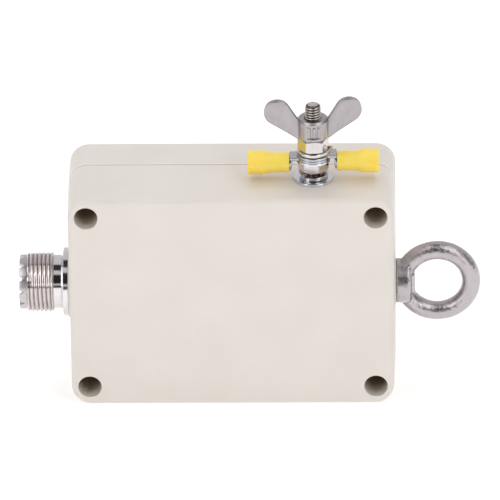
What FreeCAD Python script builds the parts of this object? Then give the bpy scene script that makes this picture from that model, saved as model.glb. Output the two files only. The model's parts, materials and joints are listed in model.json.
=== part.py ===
"""Wire-antenna matching box: a two-part plastic case with a coaxial socket on one end,
an eye bolt on the other, and a threaded antenna stud with two ring terminals on top.

Millimetres. X runs along the case from the socket (-X) to the eye bolt (+X), Y runs from
the deep base shell (-Y) to the lid (+Y), and Z is up along the antenna stud. The origin is
the middle of the case's bottom face.
"""
import FreeCAD, Part
import math
import os

V = FreeCAD.Vector
X_AXIS = V(1, 0, 0)
Y_AXIS = V(0, 1, 0)
Z_AXIS = V(0, 0, 1)

# ---------------------------------------------------------------- case
CASE_LENGTH = 83.0
CASE_HEIGHT = 58.0
CASE_DEPTH = 33.0
BASE_DEPTH = 20.4
WALL = 2.5
END_WALL = 2.7
BASE_DRAFT = 0.5          # how far each end of the base leans in at its closed face
CORNER_RADIUS = 5.0
FACE_EDGE_RADIUS = 1.0
SEAM_BEVEL = 0.25

HALF_LENGTH = CASE_LENGTH / 2
FRONT_Y = -CASE_DEPTH / 2
BACK_Y = CASE_DEPTH / 2
SEAM_Y = FRONT_Y + BASE_DEPTH
CAVITY_HALF = HALF_LENGTH - END_WALL
CEILING_Z = CASE_HEIGHT - WALL

SCREW_INSET = 5.1
SCREW_X = HALF_LENGTH - SCREW_INSET
SCREW_Z = (5.0, CASE_HEIGHT - 5.0)
BOSS_RADIUS = 4.2
WELL_RADIUS = 3.0
WELL_DEPTH = 17.0
SCREW_RADIUS = 1.5
SCREW_CLEARANCE_RADIUS = 1.7
SCREW_PILOT_RADIUS = 1.55
SCREW_LENGTH = 11.0
SCREW_HEAD_RADIUS = 2.75
SCREW_HEAD_HEIGHT = 2.2
PILOT_DEPTH = 8.6

GROOVE_OUTER = 0.9        # measured in from the outside of the case
GROOVE_INNER = 1.7
GROOVE_DEPTH = 1.2
GASKET_HEIGHT = 0.48
TONGUE_HEIGHT = 0.7
TONGUE_PLAY = 0.08

# ---------------------------------------------------------------- shared axis of the fittings
FITTING_Y = -4.4
MID_Z = CASE_HEIGHT / 2
SHAFT_PLAY = 0.05
SLACK_HOLE = 0.15

# ---------------------------------------------------------------- coaxial socket, axis along X
SOCKET_FLANGE_RADIUS = 8.83
SOCKET_FLANGE_THICKNESS = 1.8
SOCKET_FLANGE_BEVEL = (0.5, 1.35)
SOCKET_NECK_RADIUS = 6.9
SOCKET_NECK_LENGTH = 2.1
SOCKET_THREAD_RADIUS = 7.85
SOCKET_THREAD_LENGTH = 6.7
SOCKET_CROWN_LENGTH = 1.9
SOCKET_NOTCHES = 12
SOCKET_NOTCH_DEPTH = 1.3
SOCKET_NOTCH_HALF_WIDTH = 0.8
SOCKET_NOTCH_TURN = 27.2      # degrees from +Z to the first notch
SOCKET_MOUTH_RADIUS = 5.9
SOCKET_MOUTH_DEPTH = 2.0
SOCKET_BORE_RADIUS = 5.0
SOCKET_SHANK_RADIUS = 6.0
SOCKET_SHANK_LENGTH = 8.5
CONTACT_RADIUS = 2.5
CONTACT_BORE_RADIUS = 2.0
CONTACT_BORE_DEPTH = 12.0
CONTACT_SLOT_WIDTH = 0.5
CONTACT_SLOT_LENGTH = 8.0
CONTACT_PIN_RADIUS = 1.8
CUP_RADIUS = 1.2
CUP_DEPTH = 2.4
STAR_WASHER_RADIUS = 7.7
STAR_WASHER_THICKNESS = 1.0
GROUND_TAG_RADIUS = 8.3
GROUND_TAG_THICKNESS = 0.8
GROUND_TAG_WIDTH = 4.4
GROUND_TAG_REACH = 13.2
GROUND_TAG_HOLE = 1.1
GROUND_TAG_HOLE_Z = MID_Z + 11.0
SOCKET_NUT_FLATS = 15.0
SOCKET_NUT_HEIGHT = 2.5

SEAT_LEFT = -HALF_LENGTH
FLANGE_X = SEAT_LEFT - SOCKET_FLANGE_THICKNESS
NECK_X = FLANGE_X - SOCKET_NECK_LENGTH
THREAD_X = NECK_X - SOCKET_THREAD_LENGTH
CROWN_X = THREAD_X - SOCKET_CROWN_LENGTH
SHANK_END_X = SEAT_LEFT + SOCKET_SHANK_LENGTH
CONTACT_TIP_X = CROWN_X + 1.4
CONTACT_PIN_X = SHANK_END_X - 1.0
CONTACT_END_X = SHANK_END_X + 2.0

# ---------------------------------------------------------------- eye bolt, axis along X
EYE_COLLAR_RADIUS = 5.75
EYE_COLLAR_LENGTH = 3.9
EYE_CENTRE = 10.55        # from the case wall to the middle of the ring
EYE_RING_RADIUS = 8.6
EYE_SECTION_RADIUS = 2.4
EYE_LAND_X = 4.9          # from the case wall to the flat inside the ring
EYE_LAND_HALF_HEIGHT = 2.6
EYE_THREAD_RADIUS = 2.5
EYE_THREAD_LENGTH = 11.0
EYE_WASHER = (5.0, 1.0)   # radius, thickness
EYE_LOCK_WASHER = (4.5, 1.2)
EYE_NUT_FLATS = 8.0
EYE_NUT_HEIGHT = 4.0

# ---------------------------------------------------------------- antenna stud, axis along Z
STUD_X = 20.75
STUD_RADIUS = 2.0
STUD_SEATED_RADIUS = 1.98     # the threads under the nuts, slightly worn so that they run free
STUD_TOP_Z = 78.9
STUD_CHAMFER = 0.4
STUD_HEAD_RADIUS = 4.0
STUD_HEAD_HEIGHT = 3.1
STUD_WALL_HOLE = 2.15
NUT_BORE = STUD_SEATED_RADIUS + 0.06
RING_BORE = STUD_SEATED_RADIUS + 0.08
INNER_WASHER_THICKNESS = 0.8
LUG_THICKNESS = 0.8
LUG_REACH = 9.5
LUG_WIDTH = 3.6
LUG_HOLE = 0.8
LUG_HOLE_REACH = 7.75
OUTER_WASHER = (5.0, 0.8)
LOWER_LOCK_RADIUS = 3.8
LOWER_LOCK_HEIGHT = 2.2
LOCK_SECTION = 0.9
M4_FLATS = 7.0
LOWER_NUT_HEIGHT = 2.4
LOWER_NUT_TURN = -69.0
TERMINAL_WASHER = (4.3, 0.65)
TERMINAL_PLATE = 0.7
UPPER_LOCK_RADIUS = 4.1
UPPER_LOCK_HEIGHT = 1.15
UPPER_NUT_HEIGHT = 3.2
UPPER_NUT_TURN = -55.0
WING_HUB_RADIUS = 3.95
WING_HUB_HEIGHT = 5.5
WING_TIP_REACH = 8.95
WING_TIP_RADIUS = 3.4
WING_TIP_RISE = 7.3
WING_THICKNESS = 1.7
WING_LOWER_ROOT = 4.1         # from the stud's axis to where the wing's lower edge leaves the hub's bottom
WING_UPPER_ROOT = (2.9, 3.9)  # radius and height, inside the hub, where its upper edge begins
WING_INNER_RADIUS = 2.6       # how far each wing reaches into the hub
WING_TURN = 5.0

HEAD_Z = CEILING_Z - INNER_WASHER_THICKNESS - LUG_THICKNESS
WASHER_Z = CASE_HEIGHT + OUTER_WASHER[1]
LOWER_NUT_Z = WASHER_Z + LOWER_LOCK_HEIGHT
TERMINAL_WASHER_Z = LOWER_NUT_Z + LOWER_NUT_HEIGHT
LEFT_PLATE_Z = TERMINAL_WASHER_Z + TERMINAL_WASHER[1]
RIGHT_PLATE_Z = LEFT_PLATE_Z + TERMINAL_PLATE
UPPER_LOCK_Z = RIGHT_PLATE_Z + TERMINAL_PLATE
UPPER_NUT_Z = UPPER_LOCK_Z + UPPER_LOCK_HEIGHT
WING_Z = UPPER_NUT_Z + UPPER_NUT_HEIGHT

# ---------------------------------------------------------------- ring terminals
RING_RADIUS = 4.2
TONGUE_WIDTH = 4.2
BARREL_RADIUS = 2.1
BARREL_BORE = 1.5
BARREL_LENGTH = 6.5
BARREL_NOSE = 1.3
SLEEVE_LENGTH = 10.5
SLEEVE_REACH = 6.02       # from the stud's axis to the sleeve's narrow end
SLEEVE_FLARE_LENGTH = 4.2
SLEEVE_TAPER_LENGTH = 1.5
SLEEVE_FLARE_RADIUS = 3.03
SLEEVE_FLARE_BORE = 2.5
SLEEVE_NARROW_RADIUS = 2.52
LEFT_BARREL_Z = LEFT_PLATE_Z + TERMINAL_PLATE - BARREL_RADIUS
RIGHT_BARREL_Z = RIGHT_PLATE_Z + TERMINAL_PLATE - BARREL_RADIUS - 0.25

# ---------------------------------------------------------------- ferrite core and windings
CORE_X = -3.0
CORE_Z = 27.0
CORE_OUTER_RADIUS = 17.75
CORE_INNER_RADIUS = 11.45
CORE_THICKNESS = 12.7
CORE_EDGE_RADIUS = 1.5
WIRE_RADIUS = 0.4
WIRE_GAP = 0.1
WIRE_BEND = 1.0
PAD_RADIUS = 14.0
PAD_THICKNESS = 1.0
PRIMARY_START = 98.0      # degrees round the core from +X towards +Z
PRIMARY_STEP = 22.0
PRIMARY_TURNS = 2
SECONDARY_START = 158.0
SECONDARY_END = 415.0
SECONDARY_TURNS = 14

WIRE_OFFSET = WIRE_RADIUS + WIRE_GAP
PAD_Y = FRONT_Y + WALL
CORE_FRONT_Y = PAD_Y + PAD_THICKNESS + 2 * WIRE_OFFSET - WIRE_GAP
CORE_BACK_Y = CORE_FRONT_Y + CORE_THICKNESS
WIRE_FRONT_Y = CORE_FRONT_Y - WIRE_OFFSET
WIRE_BACK_Y = CORE_BACK_Y + WIRE_OFFSET
WIRE_OUTER_RADIUS = CORE_OUTER_RADIUS + WIRE_OFFSET
WIRE_INNER_RADIUS = CORE_INNER_RADIUS - WIRE_OFFSET

# Three wires share the solder cup behind the centre contact, evenly spaced round its axis.
CUP_WIRE_OFFSET = 0.62
CUP_WIRE_X = CONTACT_END_X - CUP_DEPTH + 0.2

# ---------------------------------------------------------------- capacitor across the socket
CAP_CENTRE = V(-28.0, FITTING_Y, 46.0)
CAP_RADIUS = 4.5
CAP_THICKNESS = 4.0
CAP_LEAD_SPACING = 5.0
CAP_LEAD_RADIUS = 0.3
CAP_SHOULDER_RADIUS = 0.7
CAP_SHOULDER_Z = CAP_CENTRE.z - 5.0


# ================================================================ shape helpers

def rod(radius, start, end):
    """Solid cylinder between two points."""
    run = end - start
    return Part.makeCylinder(radius, run.Length, start, run)


def ring(outer, inner, start, end):
    """Straight tube between two points."""
    return rod(outer, start, end).cut(rod(inner, start, end))


def block(low, high):
    """Box between two opposite corners."""
    size = high - low
    return Part.makeBox(size.x, size.y, size.z, low)


def prism(points, depth):
    """Solid made by pushing a closed outline along a vector."""
    return Part.Face(Part.makePolygon(points + points[:1])).extrude(depth)


def edges_in_plane(shape, y):
    """Edges that lie wholly in the plane at this Y."""
    near = 1e-4
    return [e for e in shape.Edges if abs(e.BoundBox.YMin - y) < near and abs(e.BoundBox.YMax - y) < near]


def join(first, *others):
    """One solid out of several that touch or overlap."""
    joined = first
    for other in others:
        joined = joined.fuse(other)
    return joined.removeSplitter()


def lathe(profile, origin, axis):
    """Solid of revolution about a line through origin; profile holds (along, radius) pairs."""
    side = Z_AXIS if axis.x else X_AXIS
    points = [origin + axis * along + side * radius for along, radius in profile]
    return Part.Face(Part.makePolygon(points + points[:1])).revolve(origin, axis, 360)


def hex_nut(flats, bore, start, height, axis, turn=0.0):
    """Hexagon nut with its corners chamfered at both ends."""
    corner = flats / math.sqrt(3)
    bevel = corner - flats / 2
    side = Z_AXIS if axis.x else X_AXIS
    other = axis.cross(side)
    points = []
    for index in range(6):
        angle = math.radians(turn + 60 * index)
        points.append(start + side * (corner * math.cos(angle)) + other * (corner * math.sin(angle)))
    body = prism(points, axis * height)
    rise = bevel * math.tan(math.radians(30))
    chamfer = lathe([(0, 0), (0, corner - bevel), (rise, corner), (height - rise, corner),
                     (height, corner - bevel), (height, 0)], start, axis)
    hole = rod(bore, start, start + axis * height)
    return body.common(chamfer).cut(hole)


def split_washer(outer, inner, start, thickness, axis, slit=0.9):
    """Flattened spring washer: a ring with one slit."""
    end = start + axis * thickness
    washer = ring(outer, inner, start, end)
    side = Z_AXIS if axis.x else X_AXIS
    other = axis.cross(side)
    corner = start - other * (slit / 2) - axis
    outline = [corner, corner + side * (outer + 1), corner + side * (outer + 1) + other * slit,
               corner + other * slit]
    return washer.cut(prism(outline, axis * (thickness + 2)))


def coil_washer(outer, inner, base_z, height, start_angle, sweep=345.0):
    """Spring washer that is still open: one rising turn of square section about the stud."""
    rise = height - LOCK_SECTION
    middle = (outer + inner) / 2
    path = Part.makeHelix(rise * 360 / sweep, rise, middle)
    section = Part.makePolygon([V(inner, 0, 0), V(outer, 0, 0), V(outer, 0, LOCK_SECTION),
                                V(inner, 0, LOCK_SECTION), V(inner, 0, 0)])
    washer = Part.Wire(path).makePipeShell([section], True, True)
    washer.rotate(V(0, 0, 0), Z_AXIS, start_angle)
    washer.translate(V(STUD_X, FITTING_Y, base_z))
    return washer


def rounded_path(points, bend):
    """Straight runs joined by tangent arcs; an arc shrinks where its runs are short."""
    edges = []
    start = points[0]
    for before, corner, after in zip(points, points[1:], points[2:]):
        back = (before - corner).normalize()
        ahead = (after - corner).normalize()
        half = back.getAngle(ahead) / 2
        room = 0.45 * min((before - corner).Length, (after - corner).Length)
        radius = min(bend, room * math.tan(half))
        setback = radius / math.tan(half)
        enter = corner + back * setback
        leave = corner + ahead * setback
        middle = corner + (back + ahead).normalize() * (radius / math.sin(half) - radius)
        edges.append(Part.LineSegment(start, enter).toShape())
        edges.append(Part.Arc(enter, middle, leave).toShape())
        start = leave
    edges.append(Part.LineSegment(start, points[-1]).toShape())
    return Part.Wire(edges)


def wire(points, radius, bend):
    """Round wire along a rounded path."""
    path = rounded_path(points, bend)
    section = Part.Wire(Part.makeCircle(radius, points[0], points[1] - points[0]))
    return path.makePipeShell([section], True, False)


# ================================================================ case

def case_block(front_half, seam_half, low_y, high_y, inset, radius):
    """Rounded block whose ends lean from front_half to seam_half, inset from the case's top and bottom."""
    outline = [V(-front_half, low_y, inset), V(front_half, low_y, inset),
               V(seam_half, high_y, inset), V(-seam_half, high_y, inset)]
    body = prism(outline, V(0, 0, CASE_HEIGHT - 2 * inset))
    corners = []
    for edge in body.Edges:
        if edge.BoundBox.YLength > 0.9 * (high_y - low_y) and edge.BoundBox.ZLength < 1e-6:
            corners.append(edge)
    return body.makeFillet(radius, corners)


def rim_ring(outer_inset, inner_inset, low_y, high_y):
    """Band that runs round the rim, between two insets from the outside of the case."""
    outside = case_block(HALF_LENGTH - outer_inset, HALF_LENGTH - outer_inset, low_y, high_y,
                         outer_inset, CORNER_RADIUS - outer_inset)
    inside = case_block(HALF_LENGTH - inner_inset, HALF_LENGTH - inner_inset, low_y, high_y,
                        inner_inset, CORNER_RADIUS - inner_inset)
    return outside.cut(inside)


def screw_places():
    return [(x, z) for x in (-SCREW_X, SCREW_X) for z in SCREW_Z]


def base_shell():
    shell = case_block(HALF_LENGTH - BASE_DRAFT, HALF_LENGTH, FRONT_Y, SEAM_Y, 0, CORNER_RADIUS)
    shell = shell.makeFillet(FACE_EDGE_RADIUS, edges_in_plane(shell, FRONT_Y))
    shell = shell.makeChamfer(SEAM_BEVEL, edges_in_plane(shell, SEAM_Y))
    # Flat seats for the socket's flange and the eye bolt's collar on the leaning ends.
    seat_limit = block(V(-60, FRONT_Y, 0), V(60, SEAM_Y - SEAM_BEVEL, CASE_HEIGHT))
    socket_seat = rod(SOCKET_FLANGE_RADIUS + 0.3, V(SEAT_LEFT, FITTING_Y, MID_Z),
                      V(SEAT_LEFT + 1.5, FITTING_Y, MID_Z)).common(seat_limit)
    eye_seat = rod(EYE_COLLAR_RADIUS + 0.3, V(HALF_LENGTH - 1.5, FITTING_Y, MID_Z),
                   V(HALF_LENGTH, FITTING_Y, MID_Z))
    shell = join(shell, socket_seat, eye_seat)
    shell = shell.cut(case_block(CAVITY_HALF, CAVITY_HALF, FRONT_Y + WALL, SEAM_Y + 1, WALL,
                                 CORNER_RADIUS - WALL))
    bosses = [rod(BOSS_RADIUS, V(x, FRONT_Y + WALL / 2, z), V(x, SEAM_Y, z)) for x, z in screw_places()]
    shell = join(shell, *bosses)
    shell = shell.cut(rim_ring(GROOVE_OUTER, GROOVE_INNER, SEAM_Y - GROOVE_DEPTH, SEAM_Y + 1))
    well_floor = FRONT_Y + WELL_DEPTH
    for x, z in screw_places():
        shell = shell.cut(rod(WELL_RADIUS, V(x, FRONT_Y - 1, z), V(x, well_floor, z)))
        shell = shell.cut(rod(SCREW_CLEARANCE_RADIUS, V(x, well_floor - 1, z), V(x, SEAM_Y + 1, z)))
    shell = shell.cut(rod(SOCKET_SHANK_RADIUS + SLACK_HOLE, V(SEAT_LEFT - 1, FITTING_Y, MID_Z),
                          V(-CAVITY_HALF + 1, FITTING_Y, MID_Z)))
    shell = shell.cut(rod(EYE_THREAD_RADIUS + SLACK_HOLE, V(CAVITY_HALF - 1, FITTING_Y, MID_Z),
                          V(HALF_LENGTH + 1, FITTING_Y, MID_Z)))
    return shell.cut(rod(STUD_WALL_HOLE, V(STUD_X, FITTING_Y, CEILING_Z - 1),
                         V(STUD_X, FITTING_Y, CASE_HEIGHT + 1)))


def lid_shell():
    shell = case_block(HALF_LENGTH, HALF_LENGTH, SEAM_Y, BACK_Y, 0, CORNER_RADIUS)
    shell = shell.makeFillet(FACE_EDGE_RADIUS, edges_in_plane(shell, BACK_Y))
    shell = shell.makeChamfer(SEAM_BEVEL, edges_in_plane(shell, SEAM_Y))
    shell = shell.cut(case_block(CAVITY_HALF, CAVITY_HALF, SEAM_Y - 1, BACK_Y - WALL, WALL,
                                 CORNER_RADIUS - WALL))
    bosses = [rod(BOSS_RADIUS, V(x, SEAM_Y, z), V(x, BACK_Y - WALL / 2, z)) for x, z in screw_places()]
    tongue = rim_ring(GROOVE_OUTER + TONGUE_PLAY, GROOVE_INNER - TONGUE_PLAY,
                      SEAM_Y - TONGUE_HEIGHT, SEAM_Y + 0.5)
    shell = join(shell, *bosses, tongue)
    for x, z in screw_places():
        shell = shell.cut(rod(SCREW_PILOT_RADIUS, V(x, SEAM_Y - 1, z), V(x, SEAM_Y + PILOT_DEPTH, z)))
    return shell


def lid_gasket():
    floor_y = SEAM_Y - GROOVE_DEPTH
    return rim_ring(GROOVE_OUTER + 0.05, GROOVE_INNER - 0.05, floor_y, floor_y + GASKET_HEIGHT)


def cover_screw(x, z):
    """Pan-head screw with a cross recess, its head at the bottom of the well."""
    seat_y = FRONT_Y + WELL_DEPTH
    top_y = seat_y - SCREW_HEAD_HEIGHT
    head = rod(SCREW_HEAD_RADIUS, V(x, top_y, z), V(x, seat_y, z))
    head = head.makeFillet(0.9, edges_in_plane(head, top_y))
    shank = rod(SCREW_RADIUS, V(x, seat_y - 0.5, z), V(x, seat_y + SCREW_LENGTH, z))
    screw = join(head, shank)
    for half_x, half_z in ((1.5, 0.35), (0.35, 1.5)):
        screw = screw.cut(block(V(x - half_x, top_y - 1, z - half_z), V(x + half_x, top_y + 1.2, z + half_z)))
    return screw


def cover_screws():
    return Part.makeCompound([cover_screw(x, z) for x, z in screw_places()])


# ================================================================ coaxial socket

def on_socket_axis(x):
    return V(x, FITTING_Y, MID_Z)


def connector_body():
    along, across = SOCKET_FLANGE_BEVEL
    outside = [(CROWN_X, 0), (CROWN_X, SOCKET_NECK_RADIUS - 0.3), (CROWN_X + 0.3, SOCKET_NECK_RADIUS),
               (THREAD_X, SOCKET_NECK_RADIUS), (THREAD_X, SOCKET_THREAD_RADIUS),
               (NECK_X, SOCKET_THREAD_RADIUS), (NECK_X, SOCKET_NECK_RADIUS),
               (FLANGE_X, SOCKET_NECK_RADIUS), (FLANGE_X, SOCKET_FLANGE_RADIUS - across),
               (FLANGE_X + along, SOCKET_FLANGE_RADIUS), (SEAT_LEFT, SOCKET_FLANGE_RADIUS),
               (SEAT_LEFT, SOCKET_SHANK_RADIUS), (SHANK_END_X, SOCKET_SHANK_RADIUS), (SHANK_END_X, 0)]
    body = lathe(outside, V(0, FITTING_Y, MID_Z), X_AXIS)
    body = body.cut(rod(SOCKET_BORE_RADIUS, on_socket_axis(CROWN_X - 1), on_socket_axis(SHANK_END_X + 1)))
    body = body.cut(rod(SOCKET_MOUTH_RADIUS, on_socket_axis(CROWN_X - 1),
                        on_socket_axis(CROWN_X + SOCKET_MOUTH_DEPTH)))
    # V-shaped notches round the mouth, which key the mating plug.
    for index in range(SOCKET_NOTCHES):
        outline = [V(CROWN_X - 0.1, -SOCKET_NOTCH_HALF_WIDTH, 0), V(CROWN_X - 0.1, SOCKET_NOTCH_HALF_WIDTH, 0),
                   V(CROWN_X + SOCKET_NOTCH_DEPTH, 0, 0)]
        notch = prism(outline, V(0, 0, SOCKET_NECK_RADIUS + 1))
        notch.rotate(V(0, 0, 0), X_AXIS, SOCKET_NOTCH_TURN + 360 / SOCKET_NOTCHES * index)
        notch.translate(V(0, FITTING_Y, MID_Z))
        body = body.cut(notch)
    return body


def connector_dielectric():
    start = on_socket_axis(CROWN_X + SOCKET_MOUTH_DEPTH + 0.4)
    end = on_socket_axis(SHANK_END_X - 1.2)
    return ring(SOCKET_BORE_RADIUS - SHAFT_PLAY, CONTACT_RADIUS + SHAFT_PLAY, start, end)


def connector_center_contact():
    contact = join(rod(CONTACT_RADIUS, on_socket_axis(CONTACT_TIP_X), on_socket_axis(CONTACT_PIN_X)),
                   rod(CONTACT_PIN_RADIUS, on_socket_axis(CONTACT_PIN_X), on_socket_axis(CONTACT_END_X)))
    contact = contact.cut(rod(CONTACT_BORE_RADIUS, on_socket_axis(CONTACT_TIP_X - 1),
                              on_socket_axis(CONTACT_TIP_X + CONTACT_BORE_DEPTH)))
    half = CONTACT_SLOT_WIDTH / 2
    for half_y, half_z in ((half, CONTACT_RADIUS + 1), (CONTACT_RADIUS + 1, half)):
        low = V(CONTACT_TIP_X - 1, FITTING_Y - half_y, MID_Z - half_z)
        high = V(CONTACT_TIP_X + CONTACT_SLOT_LENGTH, FITTING_Y + half_y, MID_Z + half_z)
        contact = contact.cut(block(low, high))
    return contact.cut(rod(CUP_RADIUS, on_socket_axis(CONTACT_END_X - CUP_DEPTH),
                           on_socket_axis(CONTACT_END_X + 1)))


def connector_lock_washer():
    """Star washer with teeth round its bore."""
    start_x = -CAVITY_HALF
    washer = ring(STAR_WASHER_RADIUS, SOCKET_SHANK_RADIUS + SLACK_HOLE, on_socket_axis(start_x),
                  on_socket_axis(start_x + STAR_WASHER_THICKNESS))
    for index in range(16):
        gap = block(V(start_x - 1, -0.35, 0),
                    V(start_x + STAR_WASHER_THICKNESS + 1, 0.35, SOCKET_SHANK_RADIUS + 0.9))
        gap.rotate(V(0, 0, 0), X_AXIS, 360 / 16 * index)
        gap.translate(V(0, FITTING_Y, MID_Z))
        washer = washer.cut(gap)
    return washer


def connector_ground_tag():
    start_x = -CAVITY_HALF + STAR_WASHER_THICKNESS
    end_x = start_x + GROUND_TAG_THICKNESS
    half = GROUND_TAG_WIDTH / 2
    arm_end = GROUND_TAG_REACH - half
    arm = block(V(start_x, FITTING_Y - half, MID_Z), V(end_x, FITTING_Y + half, MID_Z + arm_end))
    tip = rod(half, V(start_x, FITTING_Y, MID_Z + arm_end), V(end_x, FITTING_Y, MID_Z + arm_end))
    tag = join(rod(GROUND_TAG_RADIUS, on_socket_axis(start_x), on_socket_axis(end_x)), arm, tip)
    tag = tag.cut(rod(SOCKET_SHANK_RADIUS + SLACK_HOLE, on_socket_axis(start_x - 1),
                      on_socket_axis(end_x + 1)))
    return tag.cut(rod(GROUND_TAG_HOLE, V(start_x - 1, FITTING_Y, GROUND_TAG_HOLE_Z),
                       V(end_x + 1, FITTING_Y, GROUND_TAG_HOLE_Z)))


def connector_hex_nut():
    start_x = -CAVITY_HALF + STAR_WASHER_THICKNESS + GROUND_TAG_THICKNESS
    return hex_nut(SOCKET_NUT_FLATS, SOCKET_SHANK_RADIUS + SHAFT_PLAY, on_socket_axis(start_x),
                   SOCKET_NUT_HEIGHT, X_AXIS)


# ================================================================ eye bolt

def eye_bolt():
    wall = on_socket_axis(HALF_LENGTH)
    centre = wall + X_AXIS * EYE_CENTRE
    loop = Part.makeTorus(EYE_RING_RADIUS, EYE_SECTION_RADIUS, centre, Y_AXIS)
    # The loop's inner end runs into the collar, so what would lie in the wall is cut away.
    loop = loop.cut(block(wall - V(20, 20, 20), wall + V(0, 20, 20)))
    collar = lathe([(0, 0), (0, EYE_COLLAR_RADIUS), (EYE_COLLAR_LENGTH - 0.5, EYE_COLLAR_RADIUS),
                    (EYE_COLLAR_LENGTH, EYE_COLLAR_RADIUS - 0.5), (EYE_COLLAR_LENGTH, 0)], wall, X_AXIS)
    land = block(wall + V(EYE_COLLAR_LENGTH - 1, -EYE_SECTION_RADIUS, -EYE_LAND_HALF_HEIGHT),
                 wall + V(EYE_LAND_X, EYE_SECTION_RADIUS, EYE_LAND_HALF_HEIGHT))
    shank = lathe([(-EYE_THREAD_LENGTH, 0), (-EYE_THREAD_LENGTH, EYE_THREAD_RADIUS - 0.5),
                   (-EYE_THREAD_LENGTH + 0.5, EYE_THREAD_RADIUS), (0.5, EYE_THREAD_RADIUS), (0.5, 0)],
                  wall, X_AXIS)
    return join(collar, loop, land, shank)


def eye_stack():
    """X of each joint face behind the wall, from the wall inwards."""
    washer_x = CAVITY_HALF - EYE_WASHER[1]
    lock_x = washer_x - EYE_LOCK_WASHER[1]
    nut_x = lock_x - EYE_NUT_HEIGHT
    return washer_x, lock_x, nut_x


def eye_bolt_washer():
    washer_x = eye_stack()[0]
    return ring(EYE_WASHER[0], EYE_THREAD_RADIUS + SLACK_HOLE, on_socket_axis(washer_x),
                on_socket_axis(CAVITY_HALF))


def eye_bolt_lock_washer():
    lock_x = eye_stack()[1]
    return split_washer(EYE_LOCK_WASHER[0], EYE_THREAD_RADIUS + SLACK_HOLE, on_socket_axis(lock_x),
                        EYE_LOCK_WASHER[1], X_AXIS)


def eye_bolt_nut():
    nut_x = eye_stack()[2]
    return hex_nut(EYE_NUT_FLATS, EYE_THREAD_RADIUS + SHAFT_PLAY, on_socket_axis(nut_x), EYE_NUT_HEIGHT,
                   X_AXIS, turn=15.0)


# ================================================================ antenna stud and its hardware

def on_stud_axis(z):
    return V(STUD_X, FITTING_Y, z)


def stud_ring(outer, inner, low_z, thickness):
    return ring(outer, inner, on_stud_axis(low_z), on_stud_axis(low_z + thickness))


def antenna_stud():
    """Pan-head machine screw, head down inside the case, its free end above the wing nut."""
    head_z = HEAD_Z - STUD_HEAD_HEIGHT
    free_z = WING_Z + WING_HUB_HEIGHT
    stud = lathe([(head_z, 0), (head_z, STUD_HEAD_RADIUS - 1.2), (head_z + 0.4, STUD_HEAD_RADIUS - 0.5),
                  (head_z + 1.2, STUD_HEAD_RADIUS), (HEAD_Z, STUD_HEAD_RADIUS), (HEAD_Z, STUD_SEATED_RADIUS),
                  (free_z, STUD_SEATED_RADIUS), (free_z, STUD_RADIUS),
                  (STUD_TOP_Z - STUD_CHAMFER, STUD_RADIUS), (STUD_TOP_Z, STUD_RADIUS - STUD_CHAMFER),
                  (STUD_TOP_Z, 0)], V(STUD_X, FITTING_Y, 0), Z_AXIS)
    for half_x, half_y in ((2.0, 0.45), (0.45, 2.0)):
        low = V(STUD_X - half_x, FITTING_Y - half_y, head_z - 1)
        high = V(STUD_X + half_x, FITTING_Y + half_y, head_z + 1.7)
        stud = stud.cut(block(low, high))
    return stud


def stud_inner_washer():
    return stud_ring(OUTER_WASHER[0], STUD_WALL_HOLE, CEILING_Z - INNER_WASHER_THICKNESS,
                     INNER_WASHER_THICKNESS)


def stud_solder_lug():
    half = LUG_WIDTH / 2
    centre = on_stud_axis(HEAD_Z)
    tip = centre - X_AXIS * (LUG_REACH - half)
    up = Z_AXIS * LUG_THICKNESS
    arm = block(tip - Y_AXIS * half, centre + Y_AXIS * half + up)
    hole = centre - X_AXIS * LUG_HOLE_REACH
    lug = join(rod(STUD_HEAD_RADIUS, centre, centre + up), arm, rod(half, tip, tip + up))
    lug = lug.cut(rod(STUD_WALL_HOLE, centre - Z_AXIS, centre + up + Z_AXIS))
    return lug.cut(rod(LUG_HOLE, hole - Z_AXIS, hole + up + Z_AXIS))


def stud_outer_washer():
    return stud_ring(OUTER_WASHER[0], STUD_WALL_HOLE, CASE_HEIGHT, OUTER_WASHER[1])


def lower_lock_washer():
    return coil_washer(LOWER_LOCK_RADIUS, STUD_WALL_HOLE, WASHER_Z, LOWER_LOCK_HEIGHT, -129.0)


def lower_nut():
    return hex_nut(M4_FLATS, NUT_BORE, on_stud_axis(LOWER_NUT_Z), LOWER_NUT_HEIGHT, Z_AXIS, LOWER_NUT_TURN)


def terminal_washer():
    return stud_ring(TERMINAL_WASHER[0], STUD_WALL_HOLE, TERMINAL_WASHER_Z, TERMINAL_WASHER[1])


def upper_lock_washer():
    return coil_washer(UPPER_LOCK_RADIUS, STUD_WALL_HOLE, UPPER_LOCK_Z, UPPER_LOCK_HEIGHT, 10.0)


def upper_nut():
    return hex_nut(M4_FLATS, NUT_BORE, on_stud_axis(UPPER_NUT_Z), UPPER_NUT_HEIGHT, Z_AXIS, UPPER_NUT_TURN)


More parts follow.
